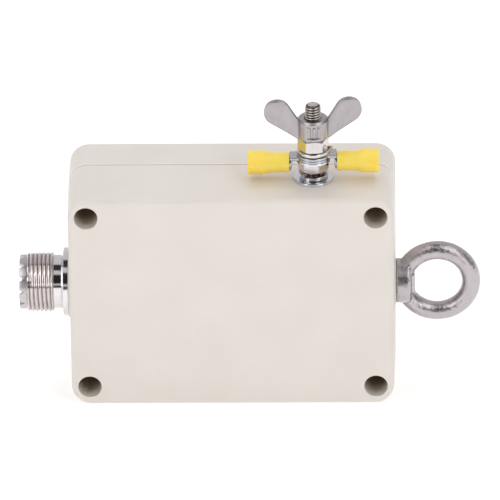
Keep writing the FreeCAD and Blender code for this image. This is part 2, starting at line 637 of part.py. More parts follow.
def wing_outline():
    """One wing in the XZ plane: two straight edges from the hub that run tangent to a round tip."""
    tip = V(WING_TIP_REACH, 0, WING_TIP_RISE)
    roots = (V(WING_LOWER_ROOT, 0, 0), V(WING_UPPER_ROOT[0], 0, WING_UPPER_ROOT[1]))
    touches = []
    for root, side in zip(roots, (-1, 1)):
        reach = (tip - root).Length
        heading = math.atan2(tip.z - root.z, tip.x - root.x) + side * math.asin(WING_TIP_RADIUS / reach)
        run = math.sqrt(reach ** 2 - WING_TIP_RADIUS ** 2)
        touches.append(root + V(run * math.cos(heading), 0, run * math.sin(heading)))
    outward = ((touches[0] - tip) + (touches[1] - tip)).normalize()
    far = tip + outward * WING_TIP_RADIUS
    if (far - roots[0]).Length < (tip - roots[0]).Length:
        far = tip - outward * WING_TIP_RADIUS
    inner = V(WING_INNER_RADIUS, 0, 0)
    edges = [Part.LineSegment(inner, roots[0]).toShape(), Part.LineSegment(roots[0], touches[0]).toShape(),
             Part.Arc(touches[0], far, touches[1]).toShape(), Part.LineSegment(touches[1], roots[1]).toShape(),
             Part.LineSegment(roots[1], inner).toShape()]
    return Part.Wire(edges)


def wing_nut():
    wing = Part.Face(wing_outline()).extrude(V(0, WING_THICKNESS, 0))
    wing.translate(V(0, -WING_THICKNESS / 2, 0))
    wing = wing.makeFillet(0.5, [e for e in wing.Edges if e.BoundBox.YLength < 1e-4 and e.BoundBox.XMax > 3])
    opposite = wing.copy()
    opposite.rotate(V(0, 0, 0), Z_AXIS, 180)
    hub = lathe([(0, 0), (0, WING_HUB_RADIUS - 0.5), (0.5, WING_HUB_RADIUS),
                 (WING_HUB_HEIGHT - 0.6, WING_HUB_RADIUS), (WING_HUB_HEIGHT, WING_HUB_RADIUS - 0.6),
                 (WING_HUB_HEIGHT, 0)], V(0, 0, 0), Z_AXIS)
    nut = join(hub, wing, opposite)
    nut = nut.cut(rod(NUT_BORE, V(0, 0, -1), V(0, 0, WING_HUB_HEIGHT + 1)))
    nut.rotate(V(0, 0, 0), Z_AXIS, WING_TURN)
    nut.translate(on_stud_axis(WING_Z))
    return nut


# ================================================================ ring terminals

def terminal_ring(side, plate_z, barrel_z):
    """Flat ring with a wire barrel hanging below one end; side is -1 for the left one, +1 for the right."""
    out = X_AXIS * side
    up = Z_AXIS * TERMINAL_PLATE
    centre = on_stud_axis(plate_z)
    barrel_start = V(STUD_X, FITTING_Y, barrel_z) + out * (SLEEVE_REACH - 0.3)
    barrel_end = barrel_start + out * BARREL_LENGTH
    nose_start = barrel_start - out * BARREL_NOSE
    tongue_end = barrel_start + out * 0.2
    half = TONGUE_WIDTH / 2
    tongue_near = centre - Y_AXIS * half
    outline = [tongue_near, V(tongue_end.x, tongue_near.y, plate_z),
               V(tongue_end.x, tongue_near.y, plate_z + TERMINAL_PLATE), tongue_near + up]
    tongue = prism(outline, Y_AXIS * TONGUE_WIDTH)
    # The barrel's nose slopes up from its underside to the plate.
    bottom_z = barrel_z - BARREL_RADIUS
    slope = [V(barrel_start.x, FITTING_Y - 5, bottom_z), V(nose_start.x, FITTING_Y - 5, plate_z),
             V(barrel_start.x, FITTING_Y - 5, plate_z)]
    nose = rod(BARREL_RADIUS, nose_start, barrel_start).common(prism(slope, Y_AXIS * 10))
    terminal = join(rod(RING_RADIUS, centre, centre + up), tongue, nose,
                    rod(BARREL_RADIUS, barrel_start, barrel_end))
    terminal = terminal.cut(rod(RING_BORE, centre - Z_AXIS, centre + up + Z_AXIS))
    return terminal.cut(rod(BARREL_BORE, barrel_start + out * 0.8, barrel_end + out))


def terminal_sleeve(side, barrel_z):
    """Vinyl sleeve: narrow over the barrel, flared where the wire goes in."""
    far = SLEEVE_LENGTH
    flare = far - SLEEVE_FLARE_LENGTH
    taper = flare - SLEEVE_TAPER_LENGTH
    barrel_stop = BARREL_LENGTH - 0.3
    bore = BARREL_RADIUS + SHAFT_PLAY
    profile = [(0, bore), (0, SLEEVE_NARROW_RADIUS - 0.15), (0.15, SLEEVE_NARROW_RADIUS),
               (taper, SLEEVE_NARROW_RADIUS), (flare, SLEEVE_FLARE_RADIUS),
               (far - 0.2, SLEEVE_FLARE_RADIUS), (far, SLEEVE_FLARE_RADIUS - 0.2),
               (far, SLEEVE_FLARE_BORE), (barrel_stop + 0.2, SLEEVE_FLARE_BORE), (barrel_stop, bore)]
    start = V(STUD_X + side * SLEEVE_REACH, FITTING_Y, barrel_z)
    return lathe(profile, start, X_AXIS * side)


def left_terminal_ring():
    return terminal_ring(-1, LEFT_PLATE_Z, LEFT_BARREL_Z)


def left_terminal_sleeve():
    return terminal_sleeve(-1, LEFT_BARREL_Z)


def right_terminal_ring():
    return terminal_ring(1, RIGHT_PLATE_Z, RIGHT_BARREL_Z)


def right_terminal_sleeve():
    return terminal_sleeve(1, RIGHT_BARREL_Z)


# ================================================================ transformer

def toroid_core():
    start = V(CORE_X, CORE_FRONT_Y, CORE_Z)
    end = V(CORE_X, CORE_BACK_Y, CORE_Z)
    core = ring(CORE_OUTER_RADIUS, CORE_INNER_RADIUS, start, end)
    rims = edges_in_plane(core, CORE_FRONT_Y) + edges_in_plane(core, CORE_BACK_Y)
    return core.makeFillet(CORE_EDGE_RADIUS, rims)


def core_mounting_pad():
    """Adhesive foam disc between the winding and the case's closed face."""
    return rod(PAD_RADIUS, V(CORE_X, PAD_Y, CORE_Z), V(CORE_X, PAD_Y + PAD_THICKNESS, CORE_Z))


def round_core(radius, y, angle):
    turn = math.radians(angle)
    return V(CORE_X + radius * math.cos(turn), y, CORE_Z + radius * math.sin(turn))


def turns(start, step, count):
    """Corner points of a winding that starts and ends on the core's outside, at its back."""
    points = []
    for index in range(count):
        angle = start + step * index
        points.append(round_core(WIRE_OUTER_RADIUS, WIRE_BACK_Y, angle))
        points.append(round_core(WIRE_OUTER_RADIUS, WIRE_FRONT_Y, angle))
        points.append(round_core(WIRE_INNER_RADIUS, WIRE_FRONT_Y, angle))
        points.append(round_core(WIRE_INNER_RADIUS, WIRE_BACK_Y, angle))
    points.append(round_core(WIRE_OUTER_RADIUS, WIRE_BACK_Y, start + step * count))
    return points


def in_cup(x, angle):
    """Point on the run of one of the wires in the solder cup."""
    turn = math.radians(angle)
    return V(x, FITTING_Y + CUP_WIRE_OFFSET * math.cos(turn), MID_Z + CUP_WIRE_OFFSET * math.sin(turn))


def primary_winding():
    """Two turns from the ground tag round the core to the socket's centre contact."""
    tag_z = GROUND_TAG_HOLE_Z + 0.45
    from_tag = [V(-38.3, FITTING_Y, tag_z), V(-34.5, FITTING_Y, tag_z), V(-31.0, 2.5, 42.0),
                V(-14.0, 4.5, 47.0), V(-7.5, 3.6, 46.6)]
    to_cup = [V(-22.5, 3.0, 36.0), V(-28.0, -1.6, 31.4), in_cup(-30.4, 90), in_cup(CUP_WIRE_X, 90)]
    return wire(from_tag + turns(PRIMARY_START, PRIMARY_STEP, PRIMARY_TURNS) + to_cup, WIRE_RADIUS, WIRE_BEND)


def secondary_winding():
    """Fourteen turns from the socket's centre contact round the core to the stud's solder lug."""
    step = (SECONDARY_END - SECONDARY_START) / SECONDARY_TURNS
    lug_x = STUD_X - LUG_HOLE_REACH
    from_cup = [in_cup(CUP_WIRE_X, -30), in_cup(-28.0, -30), V(-24.0, 2.6, 29.5)]
    to_lug = [V(9.5, 2.4, 45.5), V(lug_x, FITTING_Y, 49.0), V(lug_x, FITTING_Y, CEILING_Z - 0.3)]
    return wire(from_cup + turns(SECONDARY_START, step, SECONDARY_TURNS) + to_lug, WIRE_RADIUS, WIRE_BEND)


# ================================================================ capacitor

def cap_lead_place(side):
    return V(CAP_CENTRE.x + side * CAP_LEAD_SPACING / 2, FITTING_Y, CAP_SHOULDER_Z)


def matching_capacitor():
    """Disc with a coated shoulder where each lead comes out."""
    half = Y_AXIS * (CAP_THICKNESS / 2)
    disc = rod(CAP_RADIUS, CAP_CENTRE - half, CAP_CENTRE + half)
    rims = edges_in_plane(disc, (CAP_CENTRE - half).y) + edges_in_plane(disc, (CAP_CENTRE + half).y)
    disc = disc.makeFillet(1.2, rims)
    shoulders = [rod(CAP_SHOULDER_RADIUS, cap_lead_place(side), cap_lead_place(side) + Z_AXIS * 3)
                 for side in (-1, 1)]
    return join(disc, *shoulders)


def capacitor_leads():
    tag_z = GROUND_TAG_HOLE_Z - 0.5
    left = cap_lead_place(-1)
    right = cap_lead_place(1)
    to_tag = [left, V(left.x, left.y, tag_z), V(-38.3, FITTING_Y, tag_z)]
    to_cup = [right, right - Z_AXIS * 2.5, V(right.x, right.y - 0.8, 33.0), in_cup(-29.5, 210),
              in_cup(CUP_WIRE_X, 210)]
    return Part.makeCompound([wire(to_tag, CAP_LEAD_RADIUS, WIRE_BEND), wire(to_cup, CAP_LEAD_RADIUS, WIRE_BEND)])


# ================================================================ files

NODES = [base_shell, lid_shell, lid_gasket, cover_screws,
         connector_body, connector_dielectric, connector_center_contact, connector_lock_washer,
         connector_ground_tag, connector_hex_nut,
         eye_bolt, eye_bolt_washer, eye_bolt_lock_washer, eye_bolt_nut,
         antenna_stud, stud_inner_washer, stud_solder_lug, stud_outer_washer,
         lower_lock_washer, lower_nut, terminal_washer, upper_lock_washer, upper_nut, wing_nut,
         left_terminal_ring, left_terminal_sleeve, right_terminal_ring, right_terminal_sleeve,
         toroid_core, core_mounting_pad, primary_winding, secondary_winding,
         matching_capacitor, capacitor_leads]

os.makedirs("parts", exist_ok=True)
for make in NODES:
    shape = make()
    print(f"{make.__name__}: {len(shape.Solids)} solids, {shape.Volume:.1f} mm3, valid {shape.isValid()}")
    shape.exportStep(f"parts/{make.__name__}.step")
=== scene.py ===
"""Looks of a wire-antenna matching box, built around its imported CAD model. Metres, +Z up."""
import math

import bmesh
import bpy
from mathutils import Matrix, Vector, noise
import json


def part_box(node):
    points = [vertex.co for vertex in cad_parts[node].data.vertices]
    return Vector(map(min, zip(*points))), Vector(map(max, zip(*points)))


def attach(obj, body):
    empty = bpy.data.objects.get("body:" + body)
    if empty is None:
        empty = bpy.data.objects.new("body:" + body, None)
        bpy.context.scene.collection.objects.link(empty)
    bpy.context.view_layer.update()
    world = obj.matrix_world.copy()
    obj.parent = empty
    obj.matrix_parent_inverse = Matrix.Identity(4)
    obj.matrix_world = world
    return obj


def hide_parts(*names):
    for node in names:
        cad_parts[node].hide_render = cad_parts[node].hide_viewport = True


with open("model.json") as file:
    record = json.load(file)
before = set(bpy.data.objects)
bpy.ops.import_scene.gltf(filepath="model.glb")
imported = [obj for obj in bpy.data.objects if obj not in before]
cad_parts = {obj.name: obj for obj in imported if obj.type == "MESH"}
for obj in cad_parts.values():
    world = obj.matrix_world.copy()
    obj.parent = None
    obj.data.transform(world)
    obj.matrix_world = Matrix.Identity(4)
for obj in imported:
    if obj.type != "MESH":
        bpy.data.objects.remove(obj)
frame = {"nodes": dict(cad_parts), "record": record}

MM = 0.001
X_AXIS = Vector((1, 0, 0))
Y_AXIS = Vector((0, 1, 0))
Z_AXIS = Vector((0, 0, 1))

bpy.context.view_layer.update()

# -------- places, read from the frame
base_low, base_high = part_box("base_shell")
socket_low, socket_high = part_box("connector_body")
stud_low, stud_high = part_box("antenna_stud")

CASE_HEIGHT = base_high.z
MID_Z = CASE_HEIGHT / 2
FITTING_Y = (socket_low.y + socket_high.y) / 2
STUD_X = (stud_low.x + stud_high.x) / 2

# -------- sizes in millimetres
FLANGE_THICKNESS = 1.8
FLANGE_RADIUS = 8.83
NECK_LENGTH = 2.1
NECK_RADIUS = 6.9
BARREL_THREAD_LENGTH = 6.7
BARREL_THREAD_RADIUS = 7.85
THREAD_PITCH = 25.4 / 24
THREAD_DEPTH = 0.62
MOUTH_RADIUS = 5.9
MOUTH_DEPTH = 2.0
SOCKET_BORE = 5.0
SHANK_RADIUS = 6.0
SHANK_THREAD_DEPTH = 0.35
SHANK_THREAD_PITCH = 0.8
NOTCHES = 12
NOTCH_DEPTH = 1.3
NOTCH_HALF_ANGLE = 6.0        # degrees
NOTCH_PHASE = math.radians(27.2)
# One pitch of a 60 degree thread: share of the pitch, and height from root (0) to crest (1).
THREAD_FORM = ((0.0, 0.0), (0.06, 0.0), (0.28, 0.5), (0.45, 0.92), (0.50, 1.0), (0.56, 1.0), (0.61, 0.92),
               (0.78, 0.5))

EYE_RING = 8.6
EYE_SECTION = 2.4
EYE_COLLAR = 5.75
EYE_COLLAR_LENGTH = 3.9
EYE_SHANK = 2.5
EYE_THREAD_DEPTH = 0.45
EYE_THREAD_PITCH = 0.8
LAND_HALF_DEPTH = 2.3         # the flat where the ring grows out of the collar
LAND_HALF_HEIGHT = 2.6

STUD_PITCH = 0.7
STUD_CREST = 2.0
STUD_THREAD_DEPTH = 0.42
STUD_HEAD_RADIUS = 4.0
STUD_CHAMFER = 0.12
NUT_BORE = 2.04
M4_WASHER_BORE = 2.15
EYE_WASHER_BORE = 2.65
SPRING_SECTION = 0.9
SPRING_SWEEP = 345            # degrees
M4_FLATS = 7.0
LOWER_NUT_TURN = math.radians(-69)
UPPER_NUT_TURN = math.radians(-55)
SCREW_HEAD_RADIUS = 2.75
SCREW_HEAD_HEIGHT = 2.2
SCREW_SHANK_RADIUS = 1.5
SCREW_THREAD_DEPTH = 0.38
SCREW_THREAD_PITCH = 1.1
SCREW_POINT = 1.6

HUB_RADIUS = 3.95
HUB_HEIGHT = 5.5
HUB_RECESS = 0.55
RECESS_HALF_WIDTH = 2.1
RIB_PLACES = (-1.2, 0.0, 1.2)
RIB_HALF_WIDTH = 0.28
WING_THICKNESS = 1.7
WING_TIP_REACH = 8.95
WING_TIP_RISE = 7.3
WING_TIP_RADIUS = 3.4
WING_LOWER_ROOT = 4.1
WING_UPPER_ROOT = (2.9, 3.9)
WING_INNER = 2.6
WING_TURN = 5.0               # degrees

RING_RADIUS = 4.2
RING_BORE = 2.06
TONGUE_WIDTH = 4.2
TERMINAL_PLATE = 0.7
PLATE_CLEARANCE = 0.012       # off each face, so the two terminals turn past each other
NOSE_LENGTH = 0.75
BARREL_RADIUS = 2.1
BARREL_BORE = 1.5
BARREL_LENGTH = 6.5
SLEEVE_REACH = 6.02
SLEEVE_LENGTH = 10.5
SLEEVE_BELL_LENGTH = 4.2
SLEEVE_TAPER_LENGTH = 1.5
SLEEVE_NARROW = 2.52
SLEEVE_BELL = 3.03
SLEEVE_MOUTH = 2.5


# ======== camera and studio

CAMERA_AZIMUTH = math.radians(1.38)
CAMERA_ELEVATION = math.radians(27.53)
CAMERA_ROLL = math.radians(0.83)
CAMERA_DISTANCE = 1.661
CAMERA_LENS = 469.1
AIM_RIGHT = 4.36 * MM         # from the middle of the case to the middle of the picture
AIM_UP = 5.81 * MM

FLOOR_RADIUS = 6.0


def away_from_case(azimuth, elevation):
    """Direction from the case. Azimuth 0 is in front of it, and 90 degrees is past its right end."""
    across = math.cos(elevation)
    return Vector((math.sin(azimuth) * across, -math.cos(azimuth) * across, math.sin(elevation)))


def make_camera():
    """Long lens, slightly to the right of the case's face and well above it."""
    back = away_from_case(CAMERA_AZIMUTH, CAMERA_ELEVATION)
    right = Vector((math.cos(CAMERA_AZIMUTH), math.sin(CAMERA_AZIMUTH), 0))
    up = back.cross(right)
    rolled_right = right * math.cos(CAMERA_ROLL) - up * math.sin(CAMERA_ROLL)
    rolled_up = right * math.sin(CAMERA_ROLL) + up * math.cos(CAMERA_ROLL)
    middle = Vector((0, 0, MID_Z))
    place = middle + back * CAMERA_DISTANCE
    aim = middle + rolled_right * AIM_RIGHT + rolled_up * AIM_UP
    ahead = (aim - place).normalized()
    side = ahead.cross(rolled_up).normalized()
    upright = side.cross(ahead)
    camera = bpy.data.objects.new("camera", bpy.data.cameras.new("camera"))
    camera.data.lens = CAMERA_LENS
    camera.data.sensor_width = 36
    camera.data.clip_start = 0.05
    camera.data.clip_end = 50
    turn = Matrix((side, upright, -ahead)).transposed()
    camera.matrix_world = Matrix.Translation(place) @ turn.to_4x4()
    bpy.context.scene.collection.objects.link(camera)
    bpy.context.scene.camera = camera


def soft_box(name, azimuth, elevation, distance, width, height, power, mirrored=True):
    """Area light aimed at the case, its direction in degrees. A light that isn't mirrored fills shadows
    without showing in the metal."""
    light = bpy.data.lights.new(name, "AREA")
    light.shape = "RECTANGLE"
    light.size = width
    light.size_y = height
    light.energy = power
    away = away_from_case(math.radians(azimuth), math.radians(elevation))
    lamp = bpy.data.objects.new(name, light)
    lamp.location = Vector((0, 0, MID_Z)) + away * distance
    lamp.rotation_euler = (-away).to_track_quat("-Z", "Y").to_euler()
    lamp.visible_glossy = mirrored
    bpy.context.scene.collection.objects.link(lamp)


# Brightness of the room round the X axis, in degrees up from straight ahead of the case's face.
ROOM_BANDS = (
    (-180, 0.85), (-20, 0.85), (0, 0.45), (2, 0.05), (9, 0.05), (11, 0.60), (17, 0.60), (19, 0.02),
    (54, 0.02), (58, 0.66), (73, 0.66), (76, 0.03), (101, 0.03), (106, 0.66), (180, 0.74),
)
ROOM_TINT = (0.985, 0.965, 1.0)


def fill_ramp(node, stops):
    """Puts (position, colour) stops on a colour ramp, in place of those it comes with."""
    elements = node.color_ramp.elements
    while len(elements) > 1:
        elements.remove(elements[0])
    for index, (position, color) in enumerate(stops):
        element = elements[0] if index == 0 else elements.new(position)
        element.position = position
        element.color = (*color, 1)


def make_world():
    """White to the camera; to everything else, a studio with dark gaps between its pale surfaces."""
    world = bpy.data.worlds.new("studio")
    world.use_nodes = True
    world.node_tree.nodes.clear()
    make = world.node_tree.nodes.new
    join = world.node_tree.links.new
    parts = make("ShaderNodeSeparateXYZ")
    join(make("ShaderNodeTexCoord").outputs["Generated"], parts.inputs[0])
    forward = make("ShaderNodeMath")
    forward.operation = "MULTIPLY"
    forward.inputs[1].default_value = -1
    join(parts.outputs["Y"], forward.inputs[0])
    angle = make("ShaderNodeMath")
    angle.operation = "ARCTAN2"
    join(parts.outputs["Z"], angle.inputs[0])
    join(forward.outputs[0], angle.inputs[1])
    share = make("ShaderNodeMapRange")
    share.inputs["From Min"].default_value = -math.pi
    share.inputs["From Max"].default_value = math.pi
    join(angle.outputs[0], share.inputs["Value"])
    bands = make("ShaderNodeValToRGB")
    fill_ramp(bands, [((degrees + 180) / 360, [level * tint for tint in ROOM_TINT])
                      for degrees, level in ROOM_BANDS])
    join(share.outputs[0], bands.inputs[0])
    room = make("ShaderNodeBackground")
    join(bands.outputs[0], room.inputs["Color"])
    backdrop = make("ShaderNodeBackground")
    backdrop.inputs["Color"].default_value = (1, 1, 1, 1)
    either = make("ShaderNodeMixShader")
    join(make("ShaderNodeLightPath").outputs["Is Camera Ray"], either.inputs[0])
    join(room.outputs[0], either.inputs[1])
    join(backdrop.outputs[0], either.inputs[2])
    join(either.outputs[0], make("ShaderNodeOutputWorld").inputs[0])
    bpy.context.scene.world = world


# ======== material helpers

class Recipe:
    """A principled material and short ways to feed its sockets. Texture sizes are in millimetres."""

    def __init__(self, name, color, roughness, metallic=0.0):
        self.material = bpy.data.materials.new(name)
        self.material.use_nodes = True
        self.tree = self.material.node_tree
        self.shader = self.tree.nodes["Principled BSDF"]
        self.material.diffuse_color = (*color, 1)
        self.set("Base Color", (*color, 1))
        self.set("Roughness", roughness)
        self.set("Metallic", metallic)
        self.place = self.node("ShaderNodeTexCoord").outputs["Object"]

    def node(self, kind):
        return self.tree.nodes.new(kind)

    def join(self, source, target):
        self.tree.links.new(source, target)

    def set(self, socket, value):
        self.shader.inputs[socket].default_value = value

    def stretched(self, scale):
        """Object coordinates scaled by a different amount along each axis."""
        mapping = self.node("ShaderNodeMapping")
        mapping.inputs["Scale"].default_value = scale
        self.join(self.place, mapping.inputs["Vector"])
        return mapping.outputs[0]

    def grain(self, size, detail=3.0, roughness=0.5, place=None):
        """Noise whose lumps are about this many millimetres across."""
        texture = self.node("ShaderNodeTexNoise")
        texture.inputs["Scale"].default_value = 1 / (size * MM)
        texture.inputs["Detail"].default_value = detail
        texture.inputs["Roughness"].default_value = roughness
        self.join(place or self.place, texture.inputs["Vector"])
        return texture.outputs[0]

    def ramp(self, source, stops):
        """Colours or levels placed along a source that runs from 0 to 1."""
        node = self.node("ShaderNodeValToRGB")
        fill_ramp(node, [(place, (value,) * 3 if isinstance(value, float) else value)
                         for place, value in stops])
        self.join(source, node.inputs[0])
        return node.outputs[0]

    def remap(self, value, first, last, side="From"):
        """The value spread from 0 at first to 1 at last; with side "To", from first at 0 to last at 1."""
        node = self.node("ShaderNodeMapRange")
        node.inputs[f"{side} Min"].default_value = first
        node.inputs[f"{side} Max"].default_value = last
        self.join(value, node.inputs["Value"])
        return node.outputs[0]

    def math(self, operation, first, second):
        node = self.node("ShaderNodeMath")
        node.operation = operation
        for index, value in enumerate((first, second)):
            if isinstance(value, (int, float)):
                node.inputs[index].default_value = value
            else:
                self.join(value, node.inputs[index])
        return node.outputs[0]

    def along(self, axis):
        """Object coordinate along "X", "Y" or "Z", in millimetres."""
        parts = self.node("ShaderNodeSeparateXYZ")
        self.join(self.place, parts.inputs[0])
        return self.math("MULTIPLY", parts.outputs[axis], 1 / MM)

    def band(self, value, low, high, fade):
        """1 where the value is between low and high, fading to 0 over a short distance outside them."""
        rise = self.remap(value, low - fade, low)
        return self.math("MULTIPLY", rise, self.remap(value, high + fade, high))

    def squared(self, first, second):
        """Sum of the squares of two values."""
        return self.math("ADD", self.math("MULTIPLY", first, first), self.math("MULTIPLY", second, second))

    def from_line(self, axis, first, second):
        """Distance in millimetres from a line along an axis, through the given pair of other coordinates."""
        names = [name for name in "XYZ" if name != axis]
        across = self.math("SUBTRACT", self.along(names[0]), first)
        up = self.math("SUBTRACT", self.along(names[1]), second)
        return self.math("SQRT", self.squared(across, up), 0)

    def in_wells(self):
        """Rises from 0 to 1 with depth inside the four screw wells, and is 0 everywhere else."""
        sideways = self.math("SUBTRACT", self.math("ABSOLUTE", self.along("X"), 0), WELL_REACH_X)
        height = self.math("SUBTRACT", self.along("Z"), MID_Z / MM)
        upward = self.math("SUBTRACT", self.math("ABSOLUTE", height, 0), WELL_REACH_Z)
        near = self.math("LESS_THAN", self.squared(sideways, upward), WELL_MASK_RADIUS ** 2)
        outer_y = base_low.y / MM
        depth = self.remap(self.along("Y"), outer_y, outer_y + WELL_SHADE_DEPTH)
        above_floor = self.math("LESS_THAN", self.along("Y"), WELL_FLOOR_Y)
        return self.math("MULTIPLY", self.math("MULTIPLY", near, above_floor), depth)

    def mix(self, factor, first, second):
        """Colour mix; each side is a colour or a socket."""
        node = self.node("ShaderNodeMix")
        node.data_type = "RGBA"
        self.join(factor, node.inputs["Factor"])
        for name, value in (("A", first), ("B", second)):
            target = [s for s in node.inputs if s.name == name and s.type == "RGBA"][0]
            if isinstance(value, tuple):
                target.default_value = (*value, 1)
            else:
                self.join(value, target)
        return [s for s in node.outputs if s.type == "RGBA"][0]

    def color(self, source):
        self.join(source, self.shader.inputs["Base Color"])

    def rough(self, source, low, high):
        self.join(self.remap(source, low, high, "To"), self.shader.inputs["Roughness"])

    def bump(self, *layers):
        """Each layer is (height source, depth in millimetres at full strength)."""
        normal = None
        for height, depth in layers:
            node = self.node("ShaderNodeBump")
            node.inputs["Strength"].default_value = 1.0
            node.inputs["Distance"].default_value = depth * MM
            self.join(height, node.inputs["Height"])
            if normal is not None:
                self.join(normal, node.inputs["Normal"])
            normal = node.outputs[0]
        self.join(normal, self.shader.inputs["Normal"])


# ======== materials

def moulded_plastic():
    """Cream ABS: fine spark-eroded grain, a faint mottling, a painted shadow in the seam gap with a painted
    highlight on a narrow band beside it, and painted shade deepening into the wells.
    """
    m = Recipe("case_plastic", (0.76, 0.71, 0.655), 0.42)
    cloud = m.ramp(m.grain(14, 4), ((0.30, (0.748, 0.700, 0.642)), (0.70, (0.778, 0.733, 0.678))))
    seam = base_high.y / MM
    # Painted shadow: a dark brown band in the seam gap. Painted highlight: a narrow lighter band just beside
    # the seam.
    gap = m.band(m.along("Y"), seam - 0.06, seam + 0.13, 0.04)
    outside = m.band(m.along("Y"), seam + 0.20, seam + 0.42, 0.06)
    lit_lip = m.mix(outside, cloud, (0.95, 0.87, 0.76))
    # Inside the screw wells the cream darkens to brown with depth: painted shade.
    m.color(m.mix(m.in_wells(), m.mix(gap, lit_lip, (0.24, 0.16, 0.09)), (0.47, 0.39, 0.30)))
    m.rough(m.grain(0.9, 4), 0.36, 0.52)
    m.bump((m.grain(0.35, 2), 0.010), (m.grain(9, 2), 0.05))
    m.set("Specular IOR Level", 0.42)
    m.set("Subsurface Weight", 0.05)
    m.set("Subsurface Radius", (1.0, 0.7, 0.5))
    m.set("Subsurface Scale", 0.0010)
    return m.material


def plated(name, color, low, high):
    """Plated or polished metal: cloudy gloss and fine handling marks."""
    m = Recipe(name, color, (low + high) / 2, 1.0)
    darker = tuple(c * 0.94 for c in color)
    lighter = tuple(min(1.0, c * 1.06) for c in color)
    m.color(m.ramp(m.grain(2.4, 4), ((0.35, darker), (0.65, lighter))))
    m.rough(m.grain(1.2, 5, 0.65), low, high)
    m.bump((m.grain(0.48, 4), 0.006))
    return m.material


def groove_steel(name, color, groove, axis, line, root, crest, low, high, share=0.10, matt=None):
    """Threaded metal: clean crests, and old oil and painted shade near the root of the thread. A matt stretch
    between two places along the axis is duller and darker."""
    m = Recipe(name, color, (low + high) / 2, 1.0)
    reach = (crest - root) * share
    # Painted shade: the band near the thread's root gets the dark groove colour, which also stands for old
    # oil there.
    held = m.band(m.from_line(axis, *line), root - 0.15, root + reach, reach * 2)
    cloud = m.ramp(m.grain(1.8, 4), ((0.35, tuple(c * 0.94 for c in color)), (0.65, color)))
    finish = m.mix(held, cloud, groove)
    m.bump((m.grain(0.5, 4), 0.004))
    if matt:
        dull = m.band(m.along(axis), matt[0], matt[1], 0.05)
        finish = m.mix(dull, finish, tuple(c * 0.72 for c in color))
        marks = m.math("MULTIPLY", m.grain(0.8, 5, 0.65), 0.4)
        m.rough(m.math("ADD", m.math("MULTIPLY", dull, 0.6), marks), low, 0.42)
    else:
        m.rough(m.grain(0.8, 5, 0.65), low, high)
    m.color(finish)
    return m.material


def cast_steel(name, color, low, high, depth):
    """Tumbled stainless casting: soft dents, small dark pits, and convex edges painted lighter, both as
    rubbed wear and as a painted highlight.
    """
    m = Recipe(name, color, (low + high) / 2, 1.0)
    pits = m.ramp(m.grain(0.3, 3, 0.6), ((0.28, 1.0), (0.38, 0.0)))
    darker = tuple(c * 0.5 for c in color)
    cloud = m.ramp(m.grain(2.2, 4), ((0.3, tuple(c * 0.88 for c in color)), (0.7, color)))
    # Convex edges, found by pointiness, are painted lighter: rubbed wear, and a painted highlight along the
    # rims.
    pointiness = m.node("ShaderNodeNewGeometry").outputs["Pointiness"]
    edges = m.ramp(pointiness, ((0.512, 0.0), (0.56, 1.0)))
    rubbed = m.mix(edges, cloud, tuple(min(1.0, c * 1.35) for c in color))
    m.color(m.mix(pits, rubbed, darker))
    m.rough(m.grain(0.6, 5, 0.7), low, high)
    m.bump((m.grain(0.28, 3, 0.6), depth), (m.grain(1.3, 3), depth * 3))
    return m.material


def mottled(name, color, roughness, cloud, gloss, dents, metallic=0.0, sockets=()):
    """Material clouded between two colours. Cloud is (size, detail, dark, light), gloss is (size, detail,
    low, high), each dent is (size, detail, depth), and sockets are names with their values."""
    m = Recipe(name, color, roughness, metallic)
    m.color(m.ramp(m.grain(*cloud[:2]), ((0.3, cloud[2]), (0.7, cloud[3]))))
    m.rough(m.grain(*gloss[:2]), *gloss[2:])
    m.bump(*[(m.grain(*dent[:2]), dent[2]) for dent in dents])
    for socket, value in sockets:
        m.set(socket, value)
    return m.material


def vinyl():
    """Yellow insulating sleeve, soft and slightly waxy."""
    return mottled("sleeve_vinyl", (1.0, 0.74, 0.11), 0.38, (2.5, 3, (1.0, 0.715, 0.09), (1.0, 0.765, 0.13)),
                   (0.5, 4, 0.30, 0.48), ((0.25, 3, 0.008), (1.8, 2, 0.05)),
                   sockets=(("Subsurface Weight", 0.15), ("Subsurface Radius", (1.0, 0.6, 0.1)),
                            ("Subsurface Scale", 0.001)))


def rubber():
    """Black seal, dull and faintly dusty."""
    return mottled("gasket_rubber", (0.035, 0.035, 0.037), 0.7,
                   (0.6, 4, (0.028, 0.028, 0.030), (0.05, 0.05, 0.052)), (0.4, 4, 0.6, 0.8),
                   ((0.15, 3, 0.01),))


def ptfe():
    """White insulator with fine lathe lines round it."""
    m = Recipe("socket_ptfe", (0.86, 0.86, 0.83), 0.35)
    m.color(m.ramp(m.grain(1.5, 3), ((0.3, (0.82, 0.82, 0.79)), (0.7, (0.89, 0.89, 0.87)))))
    m.rough(m.grain(0.5, 3), 0.28, 0.45)
    m.bump((m.grain(0.3, 2, place=m.stretched((6, 1, 1))), 0.006))
    m.set("Subsurface Weight", 0.25)
    m.set("Subsurface Scale", 0.001)
    return m.material


def ferrite():
    """Coated ferrite: near-black with a fine orange-peel skin and dusty speckles."""
    m = Recipe("ferrite", (0.05, 0.05, 0.055), 0.5)
    speck = m.ramp(m.grain(0.25, 3, 0.7), ((0.60, 0.0), (0.70, 1.0)))
    m.color(m.mix(speck, (0.045, 0.045, 0.05), (0.12, 0.12, 0.125)))
    m.rough(m.grain(0.7, 4), 0.38, 0.62)
    m.bump((m.grain(0.5, 3), 0.03))
    return m.material


